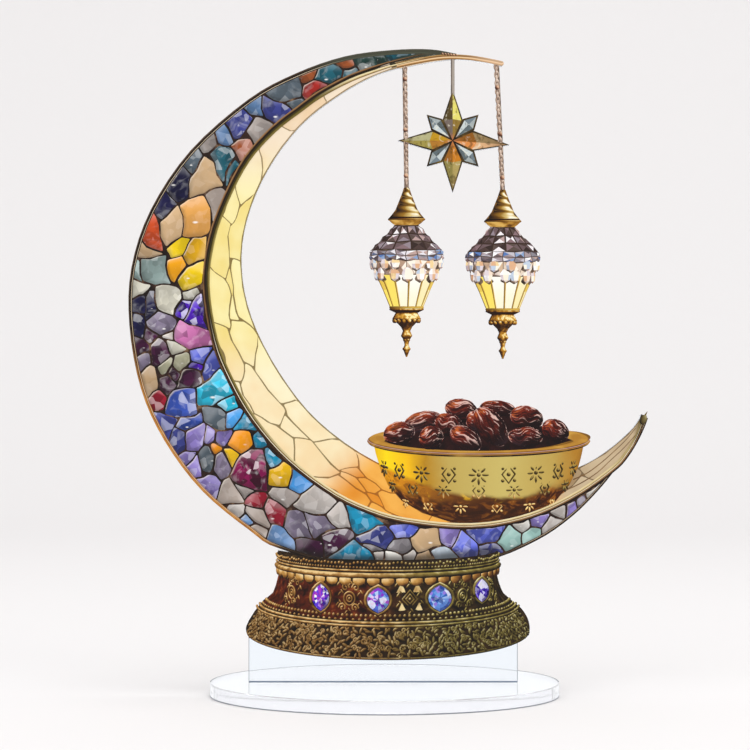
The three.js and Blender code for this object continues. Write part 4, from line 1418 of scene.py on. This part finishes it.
def look_down(pieces, slope_at, axis):
    """Tips upright forms as if seen from a little above: what is nearer comes lower"""
    for piece in pieces:
        for vertex in piece.data.vertices:
            vertex.co.z += slope_at(vertex.co.z) * vertex.co.y
            vertex.co.x += axis


def turned_from(name, profile, step, sides):
    """A turned form from a profile in millimetres, its points no further apart than the step"""
    return turned(name, finer([(r * MM, z * MM) for r, z in profile], step), sides)


def on_turned(profile, height, angle, out=0.0):
    """The place on a turned form at a height and an angle, 0 being straight in front"""
    radius = (radius_at(profile, height) + out) * MM
    return Vector((radius * math.sin(angle), -radius * math.cos(angle), height * MM))


bowl_rim = turned_from("bowl_rim", BOWL_RIM, 0.5 * MM, BOWL_SIDES)
bowl_wall = turned_from("bowl_wall", BOWL_WALL, 1.5 * MM, BOWL_SIDES)
cut_away(bowl_rim, lambda face: face.center.y > 0 and abs(face.center.x) < BOWL_RIM_HIDDEN)
motifs = []
for height, count, size in MOTIF_ROWS:
    for i in range(count):
        angle = math.pi * (i / count - 0.5 + 0.5 / count) * MOTIFS_REACH
        middle = on_turned(BOWL_WALL, height, angle, 0.25)
        side = Vector((math.cos(angle), math.sin(angle), 0))
        up = Vector((0, 0, 1))
        round_it = [side * math.cos(k * math.pi / 4) + up * math.sin(k * math.pi / 4) for k in range(8)]
        motifs.append(bead(0.42 * size * MM, middle))
        if i % 2:
            corners = [middle + way * (1.75 if k % 2 else 1.35) * size * MM
                       for k, way in enumerate(round_it[::2])]
            motifs.append(rod("lozenge", corners + corners[:2], 0.2 * size * MM, None, 6))
            motifs += [bead(0.36 * size * MM, middle + way * 1.75 * size * MM) for way in round_it[1::2]]
        else:
            motifs += [bead(0.72 * size * MM, middle + way * 1.35 * size * MM, (1, 0.3, 0.36), "petal",
                            (0, -k * math.pi / 4, angle)) for k, way in enumerate(round_it)]
motifs = join(motifs, "bowl_motifs")
look_down([bowl_rim, bowl_wall, motifs], lambda z: BOWL_LOOK_DOWN, BOWL_X * MM)

dates = []
for i, (x, z, half_length, half_width, turn) in enumerate(DATES):
    date = ball(80, 44, 1, (0, 0, 0), (0, math.pi / 2, 0))
    date.name = "date_" + str(i + 1)
    settle()
    ridges = date.data.attributes.new("ridge", "FLOAT", "POINT")
    for vertex in date.data.vertices:
        spot = vertex.co.copy()
        turn_at = math.atan2(spot.z, spot.y) + noise.noise(Vector((spot.x * 1.6, i * 7.1, 0.5))) * 0.7
        c, s = math.cos(turn_at), math.sin(turn_at)
        folds = noise.noise(Vector((c * 3.2, s * 3.2, spot.x * 0.9 + i * 3.7)))
        fine = noise.noise(Vector((c * 7, s * 7, spot.x * 1.4 + i * 5.1)))
        ridge = 0.6 * (1 - min(1, abs(folds) * 3.2)) + 0.4 * (1 - min(1, abs(fine) * 3))
        ridges.data[vertex.index].value = ridge
        swell = (0.96 + WRINKLES * (ridge - 0.4)) * DATE_SIZE * MM
        vertex.co = Vector((spot.x * half_length, spot.y * half_width, spot.z * half_width)) * swell
    date.rotation_euler.y = -math.radians(turn)
    date.location = (x * MM, (z - 90) * DATE_NEARER_BELOW * MM, z * MM)
    only(date)
    settle()
    dates.append(date)
press(dates + [bowl_rim, bowl_wall, motifs], BOWL_LAYERS)

date_skin = Ink("date_skin", roughness=0.25)
skin = date_skin.metal((-0.5, -0.6, 0.6), 0.3, 0.25, (0.4, "#0e0303"), (0.64, "#260906"), (0.83, "#52160e"),
                       (0.94, "#862a14"), (1.0, "#c46028"))
skin = date_skin.mixed(date_skin.spread(date_skin.clouds(0.14, 2), 0.5, 0.75, 0.0, 0.6), skin, "#382228")
ridge = date_skin.stored("ridge", "Fac")
# Painted shade in the wrinkles' creases, and painted highlights along the crests that face the light.
skin = date_skin.mixed(date_skin.spread(ridge, 0.42, 0.1, 0.0, 0.75), skin, "#160505")
shine = date_skin.spread(date_skin.lit((0.1, -0.6, 0.8)), 0.2, 0.8)
crest_highlight = date_skin.times(date_skin.spread(ridge, 0.58, 0.74), shine)
skin = date_skin.mixed(date_skin.times(crest_highlight, 0.9), skin, "#e8c0b4")
date_skin.finish(skin)
# Painted shadow: the dark plate behind the dates shows as shade between them.
shadow_between_dates = mottled("shadow_between_dates", 0.3, (0.3, "#0e0404"), (0.7, "#2a0c0a"))
backing("print_dates", "shadow_between_dates", shadow_between_dates)
hand_over(dates, date_skin)

bowl_brass = Ink("bowl_brass", roughness=0.25)
# The polished brass is painted with its reflections: a bright yellow flare on the left, a calm khaki band,
# warm swirls below it and dark depths at the bottom.
x = bowl_brass.at("X")
z = bowl_brass.at("Z")
wave = bowl_brass.number("MULTIPLY_ADD", bowl_brass.clouds(0.09, 3, twist=0.6), 5.0, -2.5)
wavy_x = bowl_brass.number("ADD", x, wave)
wavy_z = bowl_brass.number("ADD", z, bowl_brass.times(wave, 0.9))
calm = bowl_brass.steps(bowl_brass.number("DIVIDE", bowl_brass.number("ADD", wavy_x, 4), 66),
                        (0.0, "#d8a010"), (0.07, "#ffdc14"), (0.17, "#f6be12"), (0.25, "#b8861c"),
                        (0.36, "#c2a858"), (0.6, "#ccb868"), (0.82, "#bea050"), (0.92, "#b07c26"),
                        (1.0, "#8a5a1a"))
curve_x = bowl_brass.times(bowl_brass.number("SUBTRACT", x, 33), 1 / 30)
shore = bowl_brass.number("MULTIPLY_ADD", bowl_brass.times(curve_x, curve_x), 7.5, 59.3)
depth_below = bowl_brass.number("SUBTRACT", shore, wavy_z)
warm = bowl_brass.steps(bowl_brass.number("DIVIDE", bowl_brass.number("ADD", wavy_x, 4), 66),
                        (0.0, "#e09a10"), (0.12, "#d88a10"), (0.3, "#8a5210"), (0.5, "#5a3008"),
                        (0.8, "#7a4a12"), (1.0, "#a0702a"))
swirls = bowl_brass.clouds(0.16, 4, (1, 1, 1.6), 1.3)
warm = bowl_brass.mixed(bowl_brass.spread(swirls, 0.48, 0.66, 0.0, 0.65), warm, "#5c2e06")
warm = bowl_brass.mixed(bowl_brass.spread(swirls, 0.4, 0.3, 0.0, 0.6), warm, "#ffc21c")
deep = bowl_brass.steps(bowl_brass.clouds(0.22, 4, (1, 1, 1.8), 1.0), (0.35, "#1e0a02"), (0.52, "#4a2006"),
                        (0.66, "#a05c14"), (0.78, "#e0a040"))
tone = bowl_brass.mixed(bowl_brass.spread(depth_below, -0.8, 0.9), calm, warm)
how_deep = bowl_brass.number("ADD", depth_below, bowl_brass.times(x, 0.1))
tone = bowl_brass.mixed(bowl_brass.spread(how_deep, 3, 6.5), tone, deep)
# Painted shade: faces turned down under the rim go dark.
shade_below_rim = bowl_brass.spread(bowl_brass.lit((0, -0.2, -1)), 0.75, 0.95, 0.0, 0.6)
bowl_brass.finish(bowl_brass.mixed(shade_below_rim, tone, "#3a1c06"))
rim_brass = Ink("rim_brass", roughness=0.25)
# The rim's tones by how each face turns up are painted reflections, with a pinkish painted highlight along
# the lip.
facing_up = rim_brass.number("MULTIPLY_ADD", rim_brass.part(rim_brass.normal, "Z"), 0.5, 0.5)
rim_tone = rim_brass.steps(facing_up, (0.3, "#241004"), (0.42, "#4a2810"), (0.54, "#c4903c"),
                           (0.68, "#96602a"), (0.8, "#6a3a1c"), (0.86, "#dcb4a4"), (0.9, "#5a2c14"),
                           (0.97, "#b88430"))
outward = rim_brass.times(rim_brass.part(rim_brass.normal, "X"),
                          rim_brass.number("SUBTRACT", rim_brass.at("X"), BOWL_X))
rim_tone = rim_brass.mixed(rim_brass.number("LESS_THAN", outward, -0.5), rim_tone, "#b07c2c")
rim_brass.finish(rim_brass.mixed(rim_brass.spread(rim_brass.clouds(0.12, 2), 0.45, 0.75, 0.0, 0.5),
                                 rim_tone, "#e0b050"))
rim_bed = mottled("rim_bed", 0.1, (0.3, "#5a3810"), (0.7, "#a87824"))
chased = Ink("chased_marks")
chased_dark = chased.metal((0.3, -0.6, 0.7), 0.3, 0.5, (0.5, "#2a1c0a"), (0.8, "#4a3814"), (0.96, "#a89048"))
chased_bright = chased.metal((0.3, -0.6, 0.7), 0.3, 0.5, (0.4, "#5a3008"), (0.65, "#c08030"),
                             (0.88, "#f8d890"))
# Below the bowl's dark reflection the chased marks are painted bright, as glints; above it they stay dark.
chased.finish(chased.mixed(chased.over("Z", 61, 59), chased_dark, chased_bright))
backing("print_bowl_rim", "bowl_rim_bed", rim_bed)
backing("print_bowl_wall", "bowl_wall_bed", bowl_brass)
hand_over([bowl_rim], rim_brass)
hand_over([bowl_wall], bowl_brass)
hand_over([motifs], chased)

# The plinth is turned and cast in gilt bronze: a collar with beads and hanging scallops, a waisted
# red-brown band set with four gems in bezels, and a spreading foot chased all over with scrolls.
PLINTH_X = 1.0
PLINTH_COLLAR = [(32.6, 43.4), (33.1, 42.9), (33.1, 41.6), (32.7, 40.9), (32.9, 38.4)]
PLINTH_BAND = [(32.6, 38.6), (32.7, 36), (33, 34.4), (34.4, 30.8), (37.4, 28.2)]
PLINTH_FOOT = [(37.2, 28.4), (38.2, 27.4), (39.9, 25.2), (41.7, 22.3), (42.3, 20.6), (42.4, 19.6),
               (41.6, 18.9)]
PLINTH_SIDES = 120
PLINTH_LAYERS = (0.32, 0.98)
GEM_SETTING = 0.45 * MM
FOOT_MOTIFS = 60
PLINTH_STEP = 1 * MM
BEHIND = 0.2 * MM
BAND_RADIUS = 33.6
BAND_MIDDLE = 33.2
BOSSES_X = (-28.5, -11.4, 6.6, 22.2, 30.6)
LOZENGE_BOSS = 2
MOULDINGS = [(33.2, 0.75, 39.2), (33.3, 0.3, 40.5), (38.3, 0.4, 27.6), (39.2, 0.34, 26.9), (42.1, 0.32, 19.2)]
BEAD_ROWS = [
    ("plinth_beads", 0.42, (1, 1, 1), PLINTH_COLLAR, 42.4, 0.3, 0.25, 84),
    ("plinth_small_beads", 0.36, (1, 1, 1), PLINTH_COLLAR, 41.3, 0, 0.1, 92),
    ("plinth_scallops", 1, (1.95, 0.6, 1.6), PLINTH_BAND, 38.1, 0, 0.5, 23),
    ("plinth_scallop_edges", 1, (2.3, 0.3, 2.0), PLINTH_BAND, 38.0, 0, 0.1, 23),
    ("plinth_low_beads", 0.48, (1, 1, 1), PLINTH_BAND, 29.2, 0, 0.2, 76),
    ("plinth_lower_beads", 0.4, (1.2, 0.8, 0.9), PLINTH_BAND, 28.3, 0, 0.3, 60),
]
FOOT_SLOPE = 0.196
SLOPE_LESS = 0.0045
FOOT_Z = 19.5
FOOT_REACH = 0.91
FOOT_TIP = math.radians(-35)
SCROLL_CLOSES = 0.82
SCROLL_THINS = 0.8
GEM_PATCHES = 480
GEM_SHARE = (0.84, 0.86)
LINING_SHARE = (0.86, 0.88)
GEM_CUTS = [(0.7 * MM, 0.78), (0.5 * MM, 0.62)]
GEM_POINT = 0.15 * MM
GEM_FORWARD = 40 * MM
BEZEL_FORWARD = 38 * MM
LINING_FORWARD = 38.6 * MM
FOOT_ROWS = (26.1, 25.25, 24.4, 23.55, 22.7, 21.85, 21.0, 20.2)
SCROLL_STEPS = 11
GEM_COLOURS = {
    1: ["#8a2ad0", "#c890f0", "#f8f4ff", "#3a2ab8", "#b040c0", "#6a3ae0"],
    2: ["#8fb8ec", "#b8d4f8", "#c05ad0", "#8a3ad0", "#5a78d8", "#e4d0f6"],
    3: ["#6a9ae0", "#4a7ad0", "#a8c8f0", "#9a80e0", "#3a6ac0", "#7cacec"],
    4: ["#4a2ab0", "#8a70e8", "#d0c8f8", "#2a1a88", "#7a5ad8", "#5a3ac8"],
}


def plinth_slope(z):
    return FOOT_SLOPE - SLOPE_LESS * (z / MM - FOOT_Z)


def round_the_front(count, reach=0.97):
    return [math.pi * ((i + 0.5) / count - 0.5) * reach for i in range(count)]


collar = turned_from("plinth_collar", PLINTH_COLLAR, PLINTH_STEP, PLINTH_SIDES)
band = turned_from("plinth_band", PLINTH_BAND, PLINTH_STEP, PLINTH_SIDES)
foot = turned_from("plinth_foot", PLINTH_FOOT, PLINTH_STEP, PLINTH_SIDES)
bead_rows = {}
for name, radius, stretch, profile, height, wander, out, count in BEAD_ROWS:
    one = bead(radius * MM, (0, 0, 0), stretch)
    spots = []
    for angle in round_the_front(count):
        level = height + (chance.uniform(-wander, wander) if wander else 0)
        spots.append((on_turned(profile, level, angle, out), angle, 0))
    bead_rows[name] = copies(one, spots, name)
mouldings = join([ring(radius * MM, wire * MM, (0, 0, height * MM), "plinth_moulding", PLINTH_SIDES)
                  for radius, wire, height in MOULDINGS], "plinth_mouldings")


def scroll(turns, radius, wire, mirrored=False):
    """A flat spiral of wire in the upright plane, facing the viewer"""
    path = []
    for i in range(SCROLL_STEPS):
        share = i / (SCROLL_STEPS - 1)
        turn = 2 * math.pi * turns * share
        reach = radius * (1 - SCROLL_CLOSES * share)
        path.append(((-1 if mirrored else 1) * reach * math.cos(turn), 0, reach * math.sin(turn)))
    return rod("scroll", path, wire, wire * SCROLL_THINS, 4)


foot_shapes = [lambda turn=turn: bead(0.68 * MM, (0, 0, 0), (1.5, 0.55, 0.6), turn=(0, math.radians(turn), 0))
               for turn in (25, 70, -30, -75, 5, -50)]
foot_shapes += [lambda way=way, size=size: scroll(1.2, size * MM, 0.3 * MM, way)
                for way, size in ((False, 0.95), (True, 0.95), (False, 0.72), (True, 0.72))]
foot_shapes.append(lambda: bead(0.5 * MM, (0, 0, 0)))
foot_spots = [[] for _ in foot_shapes]
for row, height in enumerate(FOOT_ROWS):
    for angle in round_the_front(FOOT_MOTIFS, FOOT_REACH):
        angle += (row % 2 / 2 + chance.uniform(-0.25, 0.25)) * math.pi / FOOT_MOTIFS
        spot = on_turned(PLINTH_FOOT, height + chance.uniform(-0.4, 0.4), angle, 0.1)
        chance.choice(foot_spots).append((spot, angle, FOOT_TIP))
foot_work = [copies(shape(), spots, "foot_work_" + str(k + 1))
             for k, (shape, spots) in enumerate(zip(foot_shapes, foot_spots))]

band_scrolls = []
bosses = []
inlays = []
for i, boss_x in enumerate(BOSSES_X):
    angle = math.asin(boss_x / BAND_RADIUS)
    boss_spot = on_turned(PLINTH_BAND, BAND_MIDDLE, angle, 0.4)
    if i == LOZENGE_BOSS:
        for reach in (2.3, 1.25):
            square = [(-reach * MM, 0, 0), (0, 0, reach * MM), (reach * MM, 0, 0), (0, 0, -reach * MM)]
            bosses.append(placed(rod("lozenge", square + square[:2], 0.26 * MM, None, 6), boss_spot, angle))
        for across, up in ((-2.5, 2.5), (2.5, 2.5), (-2.5, -2.5), (2.5, -2.5)):
            bpy.ops.mesh.primitive_cone_add(
                vertices=3, radius1=1.7 * MM, depth=0.3 * MM, rotation=(math.pi / 2, across * up, 0))
            settle()
            spot = on_turned(PLINTH_BAND, BAND_MIDDLE + up, angle + across / BAND_RADIUS, 0.3)
            inlays.append(placed(bpy.context.object, spot, angle))
    else:
        for radius, wire, sides in ((1.75, 0.28, 24), (0.85, 0.24, 16)):
            boss = ring(radius * MM, wire * MM, (0, 0, 0), "boss", sides)
            bosses.append(placed(boss, boss_spot, angle, math.pi / 2))
        for up, aside, mirrored in ((36.0, -1.7, False), (36.0, 1.7, True), (30.9, -1.9, True),
                                    (30.9, 1.9, False)):
            spot = on_turned(PLINTH_BAND, up, angle + aside / BAND_RADIUS, 0.3)
            band_scrolls.append(placed(scroll(1.3, 1.25 * MM, 0.27 * MM, mirrored), spot, angle))
    bosses.append(placed(bead(0.42 * MM, (0, 0, 0)), boss_spot, angle))
    for up, aside in ((37.2, -3.6), (37.2, 3.6), (34.6, -3.1), (34.6, 3.1), (32, -3.3), (32, 3.3),
                      (36.9, 0), (30.1, 0)):
        for k in (-1, 1):
            spot = on_turned(PLINTH_BAND, up + 0.3 * k, angle + (aside + 0.45 * k) / BAND_RADIUS, 0.2)
            bosses.append(bead(0.5 * MM, spot, (1.5, 0.5, 0.5), "sprig", (0, k * math.radians(50), angle)))
inlays = join(inlays, "band_inlays")
bosses = join(bosses, "band_bosses")
band_scrolls = join(band_scrolls, "band_scrolls")
body = [collar, band, foot]
ornaments = [*bead_rows.values(), mouldings, bosses, band_scrolls]
for piece in body + ornaments:
    cut_away(piece, lambda face: face.center.y > BEHIND)
look_down(body + ornaments + foot_work + [inlays], plinth_slope, PLINTH_X * MM)

gems = []
settings = []
linings = []
for number in range(1, 5):
    node = "print_gem_" + str(number)
    gem = outline_of(node, "gem_" + str(number))
    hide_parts(node)
    cut_away(gem, lambda face: face.normal.y > -0.9)
    edit(gem)
    bpy.ops.mesh.dissolve_limited(angle_limit=0.02)
    bpy.ops.transform.translate(value=(0, -GEM_FORWARD, 0))
    done()
    xs, zs = [v.co.x for v in gem.data.vertices], [v.co.z for v in gem.data.vertices]
    middle = (Vector((min(xs), 0, min(zs))) + Vector((max(xs), 0, max(zs)))) / 2
    setting_path = [(x, -BEZEL_FORWARD, z) for x, z in sorted(
        zip(xs, zs), key=lambda p: math.atan2(p[1] - middle.z, p[0] - middle.x))]
    settings.append(rod("bezel_" + str(number), setting_path + setting_path[:2], GEM_SETTING, None, 8))
    inner_path = [((x - middle.x) * LINING_SHARE[0] + middle.x, -LINING_FORWARD,
                   (z - middle.z) * LINING_SHARE[1] + middle.z) for x, _, z in setting_path]
    linings.append(rod("gem_lining_" + str(number), inner_path + inner_path[:2], GEM_SETTING / 2, None, 6))
    edit(gem)
    pivot = (middle.x, 0, middle.z)
    bpy.ops.transform.resize(value=(GEM_SHARE[0], 1, GEM_SHARE[1]), center_override=pivot)
    for rise, narrower in GEM_CUTS:
        bpy.ops.mesh.extrude_region()
        bpy.ops.transform.translate(value=(0, -rise, 0))
        bpy.ops.transform.resize(value=(narrower, 1, narrower), center_override=pivot)
    bpy.ops.mesh.poke(offset=GEM_POINT)
    done()
    bpy.ops.object.shade_flat()
    draw_colours(gem, "gem_colour", GEM_COLOURS[number])
    gems.append(gem)
press(body + ornaments + foot_work + [inlays] + gems + settings + linings, PLINTH_LAYERS)

old_gilt = Ink("old_gilt", roughness=0.35)
gilt_left = old_gilt.metal((-0.4, -0.6, 0.7), 0.4, 0.4, (0.4, "#180a03"), (0.62, "#4a2c0e"),
                           (0.8, "#805824"), (0.92, "#b48446"), (0.99, "#ecca8c"))
gilt_right = old_gilt.metal((-0.2, -0.6, 0.75), 0.4, 0.4, (0.4, "#100c06"), (0.62, "#3a3012"),
                            (0.8, "#6e5e2a"), (0.92, "#a09048"), (0.99, "#e0d49c"))
gilt_tone = old_gilt.mixed(old_gilt.over("X", -12, 22), gilt_left, gilt_right)
on_foot = old_gilt.number("SUBTRACT", old_gilt.at("Z"), old_gilt.times(old_gilt.at("Y"), 0.16))
old_gilt.finish(old_gilt.mixed(old_gilt.spread(on_foot, 27.5, 25.5, 0.0, 0.4), gilt_tone, "#1e1608"))
ground = Ink("band_ground")
mottle = ground.clouds(0.4, 3)
ground_left = ground.steps(mottle, (0.35, "#1e0a04"), (0.6, "#5a1e0a"), (0.75, "#9a4a1c"))
ground_right = ground.steps(mottle, (0.35, "#0e0a08"), (0.6, "#32220e"), (0.78, "#6a5424"))
ground.finish(ground.mixed(ground.over("X", -14, 10), ground_left, ground_right))
dark_ground = mottled("dark_ground", 0.4, (0.35, "#120b05"), (0.6, "#332210"), (0.78, "#6a4e24"), detail=3)
for area, paint in (("collar", dark_ground), ("band", ground), ("foot", dark_ground)):
    backing("print_plinth_" + area, "plinth_" + area + "_bed", paint)
scallops, scallop_edges = bead_rows["plinth_scallops"], bead_rows["plinth_scallop_edges"]
hand_over([collar, foot, scallop_edges], dark_ground)
hand_over([band], ground)
hand_over([piece for piece in ornaments + foot_work + settings if piece not in (scallops, scallop_edges)],
          old_gilt)
scallop_gilt = metallic("scallop_gilt", (-0.3, -0.6, 0.7), 0.3, 0.4, (0.45, "#3a1e0a"), (0.66, "#94642a"),
                        (0.78, "#cc9a50"), (0.9, "#f4d8a0"), roughness=0.35)
hand_over([scallops], scallop_gilt)

gem_glass = Ink("gem_glass", roughness=0.15)
gem_cells = gem_glass.make("TexVoronoi", {"Vector": gem_glass.place, "Scale": GEM_PATCHES}, "Color")
patches = gem_glass.part(gem_cells, "X")
# Painted shade and highlights in the gems' facets: some cells go dark blue, some white.
gem_body = gem_glass.mixed(gem_glass.spread(patches, 0.35, 0.2, 0.0, 0.6),
                           gem_glass.stored("gem_colour", "Color"), "#1c1470")
gem_body = gem_glass.mixed(gem_glass.spread(patches, 0.78, 0.86, 0.0, 0.7), gem_body, "#ffffff")
gem_shade = gem_glass.metal((-0.5, -0.5, 0.7), 0.3, 0.4, (0.3, "#6a6490"), (0.6, "#e0e0f0"),
                            (0.85, "#ffffff"))
gem_glass.finish(gem_glass.mixed(1.0, gem_body, gem_shade, "MULTIPLY"))
hand_over(gems, gem_glass)
lining_black = metallic("gem_lining", (-0.2, -0.6, 0.75), 0.3, 0.4, (0.5, "#0c0808"), (0.8, "#2a2028"),
                        (0.97, "#8a7a80"))
hand_over(linings, lining_black)
inlay_cream = mottled("cream_inlay", 0.3, (0.3, "#b08848"), (0.6, "#ecd49a"))
hand_over([inlays], inlay_cream)

# The cut edges of the clear acrylic catch little light and read as thin grey lines: round the disc's
# far upper edge and near lower edge, along the slot's front, and down the sides of the tab.
EDGE_WIRE = 0.13 * MM
EDGE_STEPS = 60
EDGE_ROUGHNESS = 0.4
SLOT_WIRE = 0.2 * MM
SLOT_LINE_FORWARD = 0.03 * MM
TAB_EDGES_X = (-40.6 * MM, 39.8 * MM)
TAB_EDGE_TOP = 18 * MM
TAB_WIRE = 0.09 * MM

disc_low, disc_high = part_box("base_disc")
disc_middle = (disc_low + disc_high) / 2
disc_reach = (disc_high - disc_low) / 2


def half_round(name, start, height):
    """A thin rod round half of the disc's edge"""
    path = []
    for i in range(EDGE_STEPS + 1):
        angle = start + math.pi * i / EDGE_STEPS
        path.append((disc_middle.x + (disc_reach.x - EDGE_WIRE / 2) * math.cos(angle),
                     disc_middle.y + (disc_reach.y - EDGE_WIRE / 2) * math.sin(angle), height))
    return rod(name, path, EDGE_WIRE)


disc_edges = [half_round("disc_upper_edge", 0, disc_high.z - EDGE_WIRE / 2),
              half_round("disc_lower_edge", math.pi, disc_low.z + EDGE_WIRE)]
slot_y = SHEET_FACE - SLOT_WIRE - SLOT_LINE_FORWARD
slot_line = rod("slot_line", [(x, slot_y, disc_high.z + SLOT_WIRE / 2) for x in TAB_EDGES_X], SLOT_WIRE)
tab_levels = (disc_high.z + 2 * SLOT_WIRE, TAB_EDGE_TOP)
tab_edges = [rod("tab_edge_" + str(i + 1), [(x, SHEET_FACE, z) for z in tab_levels], TAB_WIRE)
             for i, x in enumerate(TAB_EDGES_X)]
for pieces, name, colour, body in ((disc_edges, "disc_edge_grey", "#7c828c", "base"),
                                   ([slot_line], "slot_shadow", "#5c7088", "base"),
                                   (tab_edges, "tab_edge_grey", "#9098a2", "plaque")):
    edge_paint, tree, shader = new_material(name)
    shader.inputs["Base Color"].default_value = linear(colour)
    shader.inputs["Roughness"].default_value = EDGE_ROUGHNESS
    for piece in pieces:
        piece.data.materials.clear()
        piece.data.materials.append(edge_paint)
        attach(piece, body)
